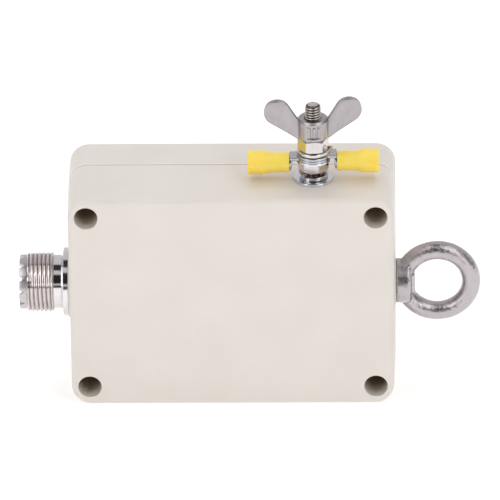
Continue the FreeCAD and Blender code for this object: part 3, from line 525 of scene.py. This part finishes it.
def foam():
    """Black foam with open cells."""
    m = Recipe("foam", (0.10, 0.10, 0.105), 0.9)
    cells = m.ramp(m.grain(0.45, 4, 0.7), ((0.35, 0.0), (0.60, 1.0)))
    m.color(m.mix(cells, (0.05, 0.05, 0.055), (0.14, 0.14, 0.145)))
    m.rough(m.grain(0.6, 3), 0.8, 0.95)
    m.bump((cells, 0.12))
    return m.material


def enamelled_wire(name, dark, light):
    """Copper wire under coloured lacquer, with rubbed and darker stretches."""
    return mottled(name, light, 0.3, (1.6, 4, dark, light), (0.5, 4, 0.18, 0.40), ((0.2, 3, 0.006),), 1.0,
                   (("Coat Weight", 0.6), ("Coat Roughness", 0.12)))


def capacitor_coat():
    """Dipped epoxy, blue, with a lumpy skin."""
    return mottled("capacitor_coat", (0.03, 0.16, 0.42), 0.25,
                   (1.2, 4, (0.022, 0.13, 0.36), (0.04, 0.19, 0.48)), (0.8, 3, 0.18, 0.36),
                   ((1.4, 2, 0.08),), sockets=(("Coat Weight", 0.4),))


def studio_floor():
    """White paper that glows a little, so that it stays as pale as the background."""
    return mottled("floor_paper", (0.93, 0.93, 0.93), 0.85,
                   (120, 3, (0.925, 0.925, 0.925), (0.94, 0.94, 0.94)), (3, 3, 0.8, 0.92), ((1.0, 3, 0.02),),
                   sockets=(("Emission Color", (1, 1, 1, 1)), ("Emission Strength", 0.30)))


# Places where the materials change, in millimetres.
screws_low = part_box("cover_screws")[0]
WELL_REACH_X = -screws_low.x / MM - SCREW_HEAD_RADIUS
WELL_REACH_Z = (MID_Z - screws_low.z) / MM - SCREW_HEAD_RADIUS
WELL_FLOOR_Y = screws_low.y / MM + SCREW_HEAD_HEIGHT + 0.1
WELL_MASK_RADIUS = SCREW_HEAD_RADIUS + 0.6
WELL_SHADE_DEPTH = 7
CROWN_LOW = socket_low.x / MM
CROWN_HIGH = base_low.x / MM - FLANGE_THICKNESS - NECK_LENGTH - BARREL_THREAD_LENGTH
SOCKET_LINE = (FITTING_Y / MM, MID_Z / MM)
STUD_LINE = (STUD_X / MM, FITTING_Y / MM)

MATERIALS = {
    "case_plastic": moulded_plastic(),
    "gasket_rubber": rubber(),
    "screw_steel": plated("screw_steel", (0.42, 0.41, 0.39), 0.25, 0.5),
    "socket_nickel": groove_steel("socket_nickel", (0.78, 0.755, 0.76), (0.42, 0.34, 0.31), "X",
                                  SOCKET_LINE, BARREL_THREAD_RADIUS - THREAD_DEPTH, BARREL_THREAD_RADIUS,
                                  0.03, 0.11, matt=(CROWN_LOW, CROWN_HIGH)),
    "socket_ptfe": ptfe(),
    "contact_plate": plated("contact_plate", (0.86, 0.76, 0.55), 0.10, 0.24),
    "washer_steel": plated("washer_steel", (0.70, 0.72, 0.77), 0.12, 0.28),
    "tag_tin": plated("tag_tin", (0.78, 0.77, 0.76), 0.18, 0.36),
    "eye_bolt_steel": cast_steel("eye_bolt_steel", (0.53, 0.49, 0.505), 0.14, 0.34, 0.05),
    "stud_steel": groove_steel("stud_steel", (0.66, 0.61, 0.58), (0.16, 0.12, 0.10), "Z", STUD_LINE,
                               STUD_CREST - STUD_THREAD_DEPTH, STUD_CREST, 0.18, 0.36, share=0.3),
    "nut_steel": plated("nut_steel", (0.64, 0.605, 0.595), 0.08, 0.20),
    "wing_steel": cast_steel("wing_steel", (0.455, 0.425, 0.435), 0.22, 0.38, 0.012),
    "terminal_tin": plated("terminal_tin", (0.49, 0.495, 0.53), 0.16, 0.34),
    "sleeve_vinyl": vinyl(),
    "ferrite": ferrite(),
    "foam": foam(),
    "wire_primary": enamelled_wire("wire_primary", (0.38, 0.06, 0.03), (0.58, 0.12, 0.06)),
    "wire_secondary": enamelled_wire("wire_secondary", (0.62, 0.26, 0.10), (0.80, 0.40, 0.18)),
    "capacitor_coat": capacitor_coat(),
}


def dress_cad_nodes():
    """Gives each CAD node the material of its slot in the record."""
    for entry in frame["record"]["subparts"]:
        mesh = frame["nodes"][entry["node"]].data
        mesh.materials.clear()
        mesh.materials.append(MATERIALS[entry["material_slot"]])


# ======== mesh helpers

class Piece:
    """Collects skins in one bmesh, in millimetres in the row frame, and makes a piece of them."""

    def __init__(self):
        self.mesh = bmesh.new()

    def skin(self, rows, loop=False, capped=True):
        """Quads between neighbouring rows of points; each row closes on itself, and a one-point row is a
        pole. With loop, the last row joins the first; otherwise an end row is capped, or left open."""
        made = []
        for row in rows:
            made.append([self.mesh.verts.new(point) for point in row])
        pairs = list(zip(made, made[1:]))
        if loop:
            pairs.append((made[-1], made[0]))
        for first, second in pairs:
            count = max(len(first), len(second))
            for index in range(count):
                after = (index + 1) % count
                corners = []
                for row, place in ((first, index), (first, after), (second, after), (second, index)):
                    vertex = row[place % len(row)]
                    if vertex not in corners:
                        corners.append(vertex)
                self.mesh.faces.new(corners)
        if capped and not loop:
            for row in (made[0], made[-1]):
                if len(row) > 1:
                    self.mesh.faces.new(row)

    def thread(self, origin, axis, start, end, crest, depth, pitch, run_in, run_out, segments, first=0.0):
        """Right-handed screw thread. Its ridge fades in and out over the two given lengths, and it starts
        and ends on plain circles at the root radius, which meet the neighbouring skins."""
        side, other = directions(axis)
        turns = math.ceil((end - start) / pitch) + 2
        shape = [(turn + share, height) for turn in range(turns) for share, height in THREAD_FORM]
        columns = []
        for index in range(segments + 1):
            angle = first + 2 * math.pi * index / segments
            out = side * math.cos(angle) + other * math.sin(angle)
            column = []
            for place, height in shape:
                along = start + (place - 1.5 + index / segments) * pitch
                along = min(end, max(start, along))
                ceiling = max(0.0, min(1.0, (along - start) / run_in, (end - along) / run_out))
                radius = crest - depth * (1 - min(height, ceiling))
                column.append(self.mesh.verts.new(origin + axis * along + out * radius))
            columns.append(column)
        for first_column, second_column in zip(columns, columns[1:]):
            for index in range(len(shape) - 1):
                self.mesh.faces.new((first_column[index], second_column[index],
                                     second_column[index + 1], first_column[index + 1]))

    def block(self, low, high):
        """Box between two corners, as a cutter or as a rib before remeshing."""
        rows = []
        for z in (low[2], high[2]):
            rows.append([Vector((low[0], low[1], z)), Vector((high[0], low[1], z)),
                         Vector((high[0], high[1], z)), Vector((low[0], high[1], z))])
        self.skin(rows)

    def object(self, name):
        """A bare object, with its mesh closed, its normals outward, and its size in metres."""
        bmesh.ops.remove_doubles(self.mesh, verts=self.mesh.verts, dist=2e-4)
        bmesh.ops.dissolve_degenerate(self.mesh, edges=self.mesh.edges, dist=1e-4)
        bmesh.ops.recalc_face_normals(self.mesh, faces=self.mesh.faces)
        bmesh.ops.scale(self.mesh, vec=(MM, MM, MM), verts=self.mesh.verts)
        data = bpy.data.meshes.new(name)
        self.mesh.to_mesh(data)
        self.mesh.free()
        made = bpy.data.objects.new(name, data)
        bpy.context.scene.collection.objects.link(made)
        return made


def skinned(name, rows, **ways):
    """A bare object made of a single skin."""
    piece = Piece()
    piece.skin(rows, **ways)
    return piece.object(name)


def settle(made, body, slot, *replaced, crease=35.0):
    """Smooth shading with sharp creases, a material, and the piece's place in the frame."""
    shape = bmesh.new()
    shape.from_mesh(made.data)
    limit = math.radians(crease)
    for face in shape.faces:
        face.smooth = True
    for edge in shape.edges:
        edge.smooth = len(edge.link_faces) != 2 or edge.calc_face_angle(0.0) < limit
    shape.to_mesh(made.data)
    shape.free()
    made.data.materials.clear()
    made.data.materials.append(MATERIALS[slot])
    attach(made, body)
    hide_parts(*replaced)
    return made


def apply_modifiers(made):
    """Replaces the mesh with what its modifiers make of it."""
    graph = bpy.context.evaluated_depsgraph_get()
    data = bpy.data.meshes.new_from_object(made.evaluated_get(graph))
    made.modifiers.clear()
    made.data = data


def combine(made, other, operation):
    """Boolean of two bare objects; the second one is used up."""
    change = made.modifiers.new("combine", "BOOLEAN")
    change.operation = operation
    change.solver = "EXACT"
    change.object = other
    apply_modifiers(made)
    bpy.data.objects.remove(other)


def melt(made, voxel, rounds):
    """Turns touching shells into one skin with soft edges, as a casting has. Sizes in millimetres."""
    remesh = made.modifiers.new("remesh", "REMESH")
    remesh.mode = "VOXEL"
    remesh.voxel_size = voxel * MM
    smooth = made.modifiers.new("smooth", "SMOOTH")
    smooth.factor = 0.5
    smooth.iterations = rounds
    apply_modifiers(made)


def directions(axis):
    """Two directions across an axis, which with it make a right-handed set."""
    side = X_AXIS if abs(axis.z) > 0.5 else Z_AXIS
    return side, axis.cross(side)


def turned(origin, axis, profile, segments=96, start=0.0):
    """Rows round an axis. A profile entry is (along, radius), or a function of the angle that gives them."""
    side, other = directions(axis)
    rows = []
    for entry in profile:
        if not callable(entry) and entry[1] == 0:
            rows.append([origin + axis * entry[0]])
            continue
        row = []
        for index in range(segments):
            angle = start + 2 * math.pi * index / segments
            along, radius = entry(angle) if callable(entry) else entry
            out = side * math.cos(angle) + other * math.sin(angle)
            row.append(origin + axis * along + out * radius)
        rows.append(row)
    return rows


def softened(profile, radius, steps=3, closed=True):
    """The profile with its corners rounded; an open profile keeps its two ends."""
    points = [Vector(point) for point in profile]
    count = len(points)
    rounded = []
    for index, corner in enumerate(points):
        if not closed and index in (0, count - 1):
            rounded.append(tuple(corner))
            continue
        before = points[index - 1] - corner
        after = points[(index + 1) % count] - corner
        reach = min(radius, 0.45 * before.length, 0.45 * after.length)
        enter = corner + before.normalized() * reach
        leave = corner + after.normalized() * reach
        for step in range(steps + 1):
            share = step / steps
            bend = enter * (1 - share) ** 2 + corner * (2 * share * (1 - share)) + leave * share ** 2
            rounded.append(tuple(bend))
    return rounded


# ======== socket

def socket_body():
    """Flange, neck, threaded barrel and notched crown, turned from one bar."""
    origin = Vector((0, FITTING_Y, MID_Z)) / MM
    tip = socket_low.x / MM
    back = socket_high.x / MM
    seat = base_low.x / MM
    flange = seat - FLANGE_THICKNESS
    neck = flange - NECK_LENGTH
    crown = neck - BARREL_THREAD_LENGTH
    reach = math.radians(NOTCH_HALF_ANGLE)
    step = 2 * math.pi / NOTCHES

    def notch(angle):
        off = (angle - NOTCH_PHASE + step / 2) % step - step / 2
        return NOTCH_DEPTH * max(0.0, 1 - abs(off) / reach)

    columns = NOTCHES * 10
    barrel_root = BARREL_THREAD_RADIUS - THREAD_DEPTH
    shank_root = SHANK_RADIUS - SHANK_THREAD_DEPTH
    rim = [lambda a, rise=rise, radius=radius: (tip + rise + notch(a), radius)
           for rise, radius in ((0.10, MOUTH_RADIUS), (0, MOUTH_RADIUS + 0.12), (0, NECK_RADIUS - 0.22),
                                (0.07, NECK_RADIUS - 0.06), (0.22, NECK_RADIUS))]
    crown_skin = rim + [(crown - 0.12, NECK_RADIUS), (crown - 0.05, NECK_RADIUS + 0.07),
                        (crown, barrel_root)]
    neck_skin = [(neck, barrel_root), (neck + 0.05, NECK_RADIUS + 0.08), (neck + 0.14, NECK_RADIUS),
                 (flange - 0.10, NECK_RADIUS), (flange, NECK_RADIUS + 0.12), (flange, FLANGE_RADIUS - 1.45),
                 (flange + 0.04, FLANGE_RADIUS - 1.33), (flange + 0.46, FLANGE_RADIUS - 0.08),
                 (flange + 0.56, FLANGE_RADIUS), (seat - 0.12, FLANGE_RADIUS), (seat, FLANGE_RADIUS - 0.12),
                 (seat, shank_root + 0.1), (seat + 0.1, shank_root)]
    bore_skin = [(back, shank_root), (back, SOCKET_BORE), (tip + MOUTH_DEPTH, SOCKET_BORE),
                 (tip + MOUTH_DEPTH, MOUTH_RADIUS), rim[0]]
    piece = Piece()
    for skin in (crown_skin, neck_skin, bore_skin):
        piece.skin(turned(origin, X_AXIS, skin, columns, NOTCH_PHASE), capped=False)
    piece.thread(origin, X_AXIS, crown, neck, BARREL_THREAD_RADIUS, THREAD_DEPTH, THREAD_PITCH, 0.35, 0.25,
                 columns, NOTCH_PHASE)
    piece.thread(origin, X_AXIS, seat + 0.1, back, SHANK_RADIUS, SHANK_THREAD_DEPTH, SHANK_THREAD_PITCH,
                 0.4, 0.4, columns, NOTCH_PHASE)
    settle(piece.object("socket_body"), "case", "socket_nickel", "connector_body", crease=28)


# ======== eye bolt

def eye_bolt():
    """Cast ring and collar with blended roots; a rolled thread on the shank."""
    low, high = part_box("eye_bolt")
    wall = base_high.x / MM
    centre = Vector((high.x / MM - EYE_SECTION - EYE_RING, FITTING_Y / MM, MID_Z / MM))
    origin = Vector((0, FITTING_Y, MID_Z)) / MM
    rows = []
    for index in range(144):
        angle = 2 * math.pi * index / 144
        out = X_AXIS * math.cos(angle) + Z_AXIS * math.sin(angle)
        row = []
        for turn in (2 * math.pi * k / 48 for k in range(48)):
            reach = EYE_RING + EYE_SECTION * math.cos(turn)
            row.append(centre + out * reach + Y_AXIS * EYE_SECTION * math.sin(turn))
        rows.append(row)
    ring = skinned("eye_bolt_casting", rows, loop=True)
    trim = Piece()
    trim.block((wall - 20, -20, 0), (wall + 0.5, 20, 60))
    combine(ring, trim.object("trim"), "DIFFERENCE")
    face = wall + EYE_COLLAR_LENGTH
    collar = [(wall, 0), (wall, EYE_COLLAR - 0.25), (wall + 0.25, EYE_COLLAR), (wall + 3.3, EYE_COLLAR),
              (wall + 3.75, EYE_COLLAR - 0.2), (face, EYE_COLLAR - 0.7), (face, 0)]
    combine(ring, skinned("collar", turned(origin, X_AXIS, collar, 96)), "UNION")
    land = Piece()
    land.block((wall + 2, centre.y - LAND_HALF_DEPTH, centre.z - LAND_HALF_HEIGHT),
               (face + 1, centre.y + LAND_HALF_DEPTH, centre.z + LAND_HALF_HEIGHT))
    combine(ring, land.object("land"), "UNION")
    melt(ring, 0.17, 4)
    blend_roots(ring, Vector((wall + 4.2, centre.y, centre.z)))
    shank = Piece()
    root = EYE_SHANK - EYE_THREAD_DEPTH
    tip = low.x / MM
    plain = [(wall - 0.4, root), (wall + 0.8, root), (wall + 0.8, 0)]
    shank.skin(turned(origin, X_AXIS, [(tip, 0), (tip, root)], 48), capped=False)
    shank.thread(origin, X_AXIS, tip, wall - 0.4, EYE_SHANK, EYE_THREAD_DEPTH, EYE_THREAD_PITCH, 0.6, 0.3, 48)
    shank.skin(turned(origin, X_AXIS, plain, 48), capped=False)
    combine(ring, shank.object("shank"), "UNION")
    settle(ring, "case", "eye_bolt_steel", "eye_bolt", crease=50)


def blend_roots(made, root):
    """Smooths the skin where the ring runs into the collar, and beats faint dents into the rest."""
    shape = bmesh.new()
    shape.from_mesh(made.data)
    near = [v for v in shape.verts if abs(v.co.x / MM - root.x) < 1.5]
    for _ in range(14):
        bmesh.ops.smooth_vert(shape, verts=near, factor=0.5,
                              use_axis_x=True, use_axis_y=True, use_axis_z=True)
    shape.normal_update()
    for vertex in shape.verts:
        dent = noise.noise(vertex.co / (3.2 * MM)) * 0.05 + noise.noise(vertex.co / (1.1 * MM)) * 0.02
        vertex.co += vertex.normal * ((dent - 0.05) * MM)
    shape.to_mesh(made.data)
    shape.free()


# ======== screws, nuts and washers

def cut_cross(made, centre, axis, width, depth, half):
    """Cuts a tapered screwdriver cross into a head whose top is at centre, axis pointing out of it."""
    side, other = directions(axis)
    for first, second in ((side, other), (other, side)):
        rows = []
        for along, reach, thick in ((0.3, width + 0.12, half + 0.05), (-depth, width * 0.42, half * 0.6)):
            middle = centre + axis * along
            rows.append([middle + first * (reach * a) + second * (thick * b)
                         for a, b in ((-1, -1), (1, -1), (1, 1), (-1, 1))])
        combine(made, skinned("cross_cutter", rows), "DIFFERENCE")


def antenna_stud():
    """Machine screw with a pan head inside the case and its thread out of the top."""
    low = stud_low.z / MM
    top = stud_high.z / MM
    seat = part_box("stud_solder_lug")[0].z / MM
    origin = Vector((STUD_X, FITTING_Y, 0)) / MM
    root = STUD_CREST - STUD_THREAD_DEPTH
    head = [(low, 0)] + softened([(low, 0.6), (low, 2.9), (low + 0.5, 3.6), (low + 1.3, STUD_HEAD_RADIUS),
                                  (seat, STUD_HEAD_RADIUS), (seat, root)], 0.3, 3, closed=False)
    end = top - STUD_CHAMFER
    columns = 56
    piece = Piece()
    piece.skin(turned(origin, Z_AXIS, head, columns), capped=False)
    piece.thread(origin, Z_AXIS, seat, end, STUD_CREST, STUD_THREAD_DEPTH, STUD_PITCH, 0.3, 0.45, columns)
    piece.skin(turned(origin, Z_AXIS, [(end, root), (top, root - 0.2), (top, 0)], columns), capped=False)
    stud = piece.object("antenna_stud_screw")
    cut_cross(stud, origin + Z_AXIS * low, -Z_AXIS, 2.0, 1.7, 0.45)
    settle(stud, "case", "stud_steel", "antenna_stud")


def cover_screws():
    """Four self-tapping screws, driven in from the bottoms of the wells."""
    low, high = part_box("cover_screws")
    head_y = low.y / MM
    tip_y = high.y / MM
    seat_y = head_y + SCREW_HEAD_HEIGHT
    point_y = tip_y - SCREW_POINT
    root = SCREW_SHANK_RADIUS - SCREW_THREAD_DEPTH
    side_of_head = [(head_y, 0.5), (head_y + 0.15, 1.9), (head_y + 0.9, SCREW_HEAD_RADIUS),
                    (seat_y, SCREW_HEAD_RADIUS), (seat_y, root)]
    head = [(head_y, 0)] + softened(side_of_head, 0.35, 4, closed=False)
    cone = [(point_y, root), (tip_y - 0.2, 0.35), (tip_y, 0)]
    left_x = low.x / MM + SCREW_HEAD_RADIUS
    lower_z = low.z / MM + SCREW_HEAD_RADIUS
    upper_z = high.z / MM - SCREW_HEAD_RADIUS
    for side, x in (("left", left_x), ("right", -left_x)):
        for level, z in (("lower", lower_z), ("upper", upper_z)):
            origin = Vector((x, 0, z))
            piece = Piece()
            piece.skin(turned(origin, Y_AXIS, head, 48), capped=False)
            piece.thread(origin, Y_AXIS, seat_y, point_y, SCREW_SHANK_RADIUS, SCREW_THREAD_DEPTH,
                         SCREW_THREAD_PITCH, 0.5, 0.8, 48)
            piece.skin(turned(origin, Y_AXIS, cone, 48), capped=False)
            screw = piece.object(f"cover_screw_{level}_{side}")
            cut_cross(screw, origin + Y_AXIS * head_y, -Y_AXIS, 1.5, 1.2, 0.35)
            settle(screw, "lid_screws", "screw_steel", "cover_screws")


def hex_nut(name, node, turn):
    """M4 nut: cone-chamfered corners at both ends, rounded corners, and a countersunk bore."""
    low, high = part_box(node)
    origin = (low + high) / 2 / MM
    half = (high - low).z / 2 / MM
    corner = M4_FLATS / math.sqrt(3)
    cone = M4_FLATS / 2 * 0.975

    def wall(angle):
        across = (angle - turn) % (math.pi / 3) - math.pi / 6
        return min(M4_FLATS / 2 / math.cos(across), corner - 0.09)

    def rim(sign):
        return lambda a: (sign * (half - max(0.0, wall(a) - cone) * math.tan(math.radians(30))), wall(a))

    sink = 0.28
    profile = [(-half, cone), (-half, NUT_BORE + sink), (-half + sink, NUT_BORE), (half - sink, NUT_BORE),
               (half, NUT_BORE + sink), (half, cone), rim(1), rim(-1)]
    nut = skinned(name, turned(origin, Z_AXIS, profile, 132, turn), loop=True)
    settle(nut, "case", "nut_steel", node, crease=14)


def flat_washer(name, node, bore=M4_WASHER_BORE, axis=Z_AXIS, edge=0.16):
    """Stamped washer: one edge rolled over by the punch, the other almost square."""
    low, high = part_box(node)
    origin = (low + high) / 2 / MM
    half = axis.dot(high - low) / 2 / MM
    outer = max(high - low) / 2 / MM
    sharp = edge * 0.3
    profile = [(-half, bore + sharp), (-half + sharp, bore), (half - edge, bore),
               (half - sharp, bore + sharp), (half, bore + edge), (half, outer - edge),
               (half - sharp, outer - sharp), (half - edge, outer), (-half + sharp, outer),
               (-half, outer - sharp)]
    washer = skinned(name, turned(origin, axis, profile, 96), loop=True)
    settle(washer, "case", "washer_steel", node, crease=40)


def spring_washer(name, node, outer, start, splay_out=0.0, splay_up=0.0):
    """Open spring washer: a rounded square bar wound once round the stud, its end free to splay."""
    inner = M4_WASHER_BORE
    section = SPRING_SECTION
    low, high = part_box(node)
    base = low.z / MM
    rise = (high.z - low.z) / MM - section
    axis = Vector((STUD_X, FITTING_Y, 0)) / MM
    shape = softened([(inner, 0), (outer, 0), (outer, section), (inner, section)], 0.16, 3)
    steps = 100
    rows = []
    for index in range(steps + 1):
        share = index / steps
        angle = math.radians(start + SPRING_SWEEP * share)
        flare = max(0.0, (share - 0.86) / 0.14) ** 2
        out = X_AXIS * math.cos(angle) + Y_AXIS * math.sin(angle)
        lift = base + rise * share
        rows.append([axis + out * (radius + splay_out * flare) + Z_AXIS * (lift + up + splay_up * flare)
                     for radius, up in shape])
    settle(skinned(name, rows), "case", "nut_steel", node)


# ======== wing nut

def wing_nut():
    """Cast hub with a plain recess and grip ribs on each face, and two rounded wings."""
    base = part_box("wing_nut")[0].z / MM
    hub = [(0, NUT_BORE + 0.3), (0, HUB_RADIUS - 0.3), (0.35, HUB_RADIUS), (HUB_HEIGHT - 0.45, HUB_RADIUS),
           (HUB_HEIGHT, HUB_RADIUS - 0.45), (HUB_HEIGHT, NUT_BORE + 0.3), (HUB_HEIGHT - 0.3, NUT_BORE),
           (0.3, NUT_BORE)]
    nut = skinned("wing_nut_casting", turned(Vector((0, 0, 0)), Z_AXIS, hub, 96), loop=True)
    recess = Piece()
    for front in (-1, 1):
        near = front * (HUB_RADIUS - HUB_RECESS)
        far = front * (HUB_RADIUS + 1)
        recess.block((-RECESS_HALF_WIDTH, min(near, far), 1.0),
                     (RECESS_HALF_WIDTH, max(near, far), HUB_HEIGHT - 1.15))
    combine(nut, recess.object("recess"), "DIFFERENCE")
    ribs = Piece()
    for front in (-1, 1):
        for place in RIB_PLACES:
            depth = math.sqrt(HUB_RADIUS ** 2 - place ** 2)
            near = front * (depth - 1.1)
            far = front * (depth - 0.10)
            ribs.block((place - RIB_HALF_WIDTH, min(near, far), 1.3),
                       (place + RIB_HALF_WIDTH, max(near, far), HUB_HEIGHT - 1.45))
    combine(nut, ribs.object("ribs"), "UNION")
    for turn in (0, math.pi):
        combine(nut, skinned("wing", wing_rows(turn)), "UNION")
    melt(nut, 0.10, 3)
    place = Vector((STUD_X, FITTING_Y, base * MM))
    nut.data.transform(Matrix.Translation(place) @ Matrix.Rotation(math.radians(WING_TURN), 4, "Z"))
    settle(nut, "wing", "wing_steel", "wing_nut", crease=60)


def wing_rows(turn):
    """Rounded sections across one wing, from inside the hub to the tip of its round end."""
    tip = Vector((WING_TIP_REACH, WING_TIP_RISE))
    lower = Vector((WING_LOWER_ROOT, 0.0))
    upper = Vector(WING_UPPER_ROOT)
    touches = []
    for root, side in ((lower, -1), (upper, 1)):
        reach = (tip - root).length
        heading = math.atan2(tip.y - root.y, tip.x - root.x) + side * math.asin(WING_TIP_RADIUS / reach)
        run = math.sqrt(reach ** 2 - WING_TIP_RADIUS ** 2)
        touches.append(root + Vector((math.cos(heading), math.sin(heading))) * run)
    edges = [(Vector((WING_INNER, 0.0)), Vector((WING_INNER, WING_UPPER_ROOT[1] - 0.5)))]
    for step in range(13):
        share = step / 12
        edges.append((lower.lerp(touches[0], share), upper.lerp(touches[1], share)))
    angles = [math.atan2((t - tip).y, (t - tip).x) for t in touches]
    if angles[1] < angles[0]:
        angles[1] += 2 * math.pi
    middle = (angles[0] + angles[1]) / 2
    for step in range(1, 15):
        share = math.sin(step / 15 * math.pi / 2)
        pair = []
        for angle in angles:
            bend = angle + (middle - angle) * share
            pair.append(tip + Vector((math.cos(bend), math.sin(bend))) * WING_TIP_RADIUS)
        edges.append(tuple(pair))
    rows = []
    rotate = Matrix.Rotation(turn, 3, "Z")
    for first, second in edges:
        span = (second - first).length / 2
        middle_point = (first + second) / 2
        along = (second - first).normalized()
        distance = middle_point.x
        flare = max(0.0, 1 - (distance - 3.0) / 2.6) ** 2
        half = WING_THICKNESS / 2 * (0.92 + 0.75 * flare)
        corner = min(0.55, span * 0.9)
        section = [(-span, -half), (span, -half), (span, half), (-span, half)]
        row = []
        for across, thick in softened(section, corner, 4):
            point = middle_point + along * across
            row.append(rotate @ Vector((point.x, thick, point.y)))
        rows.append(row)
    return rows


# ======== ring terminals

def terminal(side_name, side, body):
    """Stamped ring and tongue, with a tinned barrel brazed under its end."""
    low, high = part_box(f"{side_name}_terminal_ring")
    plate_high = high.z / MM - PLATE_CLEARANCE
    barrel_z = low.z / MM + BARREL_RADIUS
    plate_low = high.z / MM - TERMINAL_PLATE + PLATE_CLEARANCE
    out = X_AXIS * side
    origin = Vector((STUD_X / MM, FITTING_Y / MM, 0))
    half_width = TONGUE_WIDTH / 2
    end = SLEEVE_REACH - 0.1
    corner = math.atan2(half_width, end)
    joint = math.asin(half_width / RING_RADIUS)

    def outline(angle):
        off = abs((angle - (0 if side > 0 else math.pi) + math.pi) % (2 * math.pi) - math.pi)
        if off < corner:
            return end / math.cos(off)
        if off < joint:
            return half_width / math.sin(off)
        return RING_RADIUS

    soft = 0.10
    profile = [(plate_low, RING_BORE + soft), (plate_low + soft, RING_BORE), (plate_high - soft, RING_BORE),
               (plate_high, RING_BORE + soft), lambda a: (plate_high, outline(a) - soft * 1.6),
               lambda a: (plate_high - soft * 0.5, outline(a) - soft * 0.5),
               lambda a: (plate_high - soft * 1.6, outline(a)),
               lambda a: (plate_low + soft * 0.5, outline(a)), lambda a: (plate_low, outline(a) - soft * 0.5)]
    ring = skinned(f"{side_name}_ring_terminal", turned(origin, Z_AXIS, profile, 144), loop=True)

    rows = []
    nose = SLEEVE_REACH - 0.3
    droop = 0.2 if barrel_z + BARREL_RADIUS < plate_high - 0.1 else 0
    for step in range(9):
        share = step / 8
        ease = share * share * (3 - 2 * share)
        reach = nose - NOSE_LENGTH + NOSE_LENGTH * share
        top = plate_high - 0.05 - droop * ease
        bottom = (plate_low + 0.08) * (1 - ease) + (barrel_z - BARREL_RADIUS) * ease
        power = 2 + 5 * (1 - ease)
        width = half_width - 0.08 + 0.08 * ease
        rows.append(bar_section(origin, out, reach, width, (top - bottom) / 2, (top + bottom) / 2, power))
    mouth = nose + BARREL_LENGTH
    for reach, radius in ((nose + 0.4, BARREL_RADIUS), (mouth - 0.15, BARREL_RADIUS),
                          (mouth, BARREL_RADIUS - 0.15), (mouth, BARREL_BORE + 0.12),
                          (mouth - 0.12, BARREL_BORE), (nose + 0.8, BARREL_BORE)):
        rows.append(bar_section(origin, out, reach, radius, radius, barrel_z, 2))
    combine(ring, skinned("barrel", rows), "UNION")
    settle(ring, body, "terminal_tin", f"{side_name}_terminal_ring", crease=32)
    sleeve(side_name, out, origin, barrel_z, body)


def bar_section(origin, out, reach, half_width, half_height, middle_z, power):
    """One rounded section across a bar that runs out from the stud: an ellipse at power 2, squarer above."""
    row = []
    for index in range(48):
        angle = 2 * math.pi * index / 48
        across = math.copysign(abs(math.cos(angle)) ** (2 / power), math.cos(angle)) * half_width
        rise = math.copysign(abs(math.sin(angle)) ** (2 / power), math.sin(angle)) * half_height
        row.append(origin + out * reach + Y_AXIS * across + Z_AXIS * (middle_z + rise))
    return row


def sleeve(side_name, out, origin, barrel_z, body):
    """Vinyl sleeve: snug on the barrel, belled out where the wire goes in, and slightly uneven."""
    centre = origin + Z_AXIS * barrel_z
    bell = SLEEVE_LENGTH - SLEEVE_BELL_LENGTH
    taper = bell - SLEEVE_TAPER_LENGTH
    snug = BARREL_RADIUS + 0.05
    outline = [(0, snug), (0, SLEEVE_NARROW), (taper, SLEEVE_NARROW), (bell, SLEEVE_BELL),
               (SLEEVE_LENGTH, SLEEVE_BELL), (SLEEVE_LENGTH, SLEEVE_MOUTH), (bell + 0.2, SLEEVE_MOUTH),
               (BARREL_LENGTH - 0.2, snug)]
    profile = []
    for along, radius in spaced(softened(outline, 0.42, 4), 0.45):
        def uneven(angle, along=SLEEVE_REACH + along, radius=radius):
            spot = Vector((math.cos(angle) * 1.3, math.sin(angle) * 1.3, along * 0.35 + barrel_z))
            return along, radius + noise.noise(spot) * 0.035
        profile.append(uneven)
    made = skinned(f"{side_name}_vinyl_sleeve", turned(centre, out, profile, 72), loop=True)
    settle(made, body, "sleeve_vinyl", f"{side_name}_terminal_sleeve", crease=60)


def spaced(profile, longest):
    """The closed profile with extra points, so that no side is longer than this."""
    result = []
    for first, second in zip(profile, profile[1:] + profile[:1]):
        start = Vector(first)
        run = Vector(second) - start
        parts = max(1, math.ceil(run.length / longest))
        result += [tuple(start + run * (part / parts)) for part in range(parts)]
    return result


# ======== scene

make_camera()
make_world()
soft_box("side_left", -42, 30, 1.2, 0.5, 1.3, 3.9)
soft_box("side_right", 42, 30, 1.2, 0.5, 1.3, 3.9)
soft_box("shoulder_left", -80, 60, 1.2, 0.5, 0.7, 1.6)
soft_box("shoulder_right", 80, 60, 1.2, 0.5, 0.7, 1.6)
soft_box("front_fill", 0, 20, 1.6, 1.2, 0.8, 0.7, mirrored=False)
soft_box("overhead_fill", 180, 72, 1.4, 1.0, 0.8, 4.4, mirrored=False)

bpy.ops.mesh.primitive_circle_add(vertices=96, radius=FLOOR_RADIUS, fill_type="NGON")
floor = bpy.context.object
floor.name = "floor"
floor.data.materials.append(studio_floor())

dress_cad_nodes()
socket_body()
eye_bolt()
antenna_stud()
cover_screws()
hex_nut("lower_hex_nut", "lower_nut", LOWER_NUT_TURN)
hex_nut("upper_hex_nut", "upper_nut", UPPER_NUT_TURN)
flat_washer("outer_plain_washer", "stud_outer_washer")
flat_washer("terminal_plain_washer", "terminal_washer", edge=0.13)
flat_washer("inner_plain_washer", "stud_inner_washer")
flat_washer("eye_plain_washer", "eye_bolt_washer", EYE_WASHER_BORE, X_AXIS)
spring_washer("lower_spring_washer", "lower_lock_washer", 3.8, -129)
spring_washer("upper_spring_washer", "upper_lock_washer", 4.1, 10, 0.85, 0.8)
wing_nut()
terminal("left", -1, "left_terminal")
terminal("right", 1, "right_terminal")

bpy.context.scene.view_settings.view_transform = "Standard"

import json
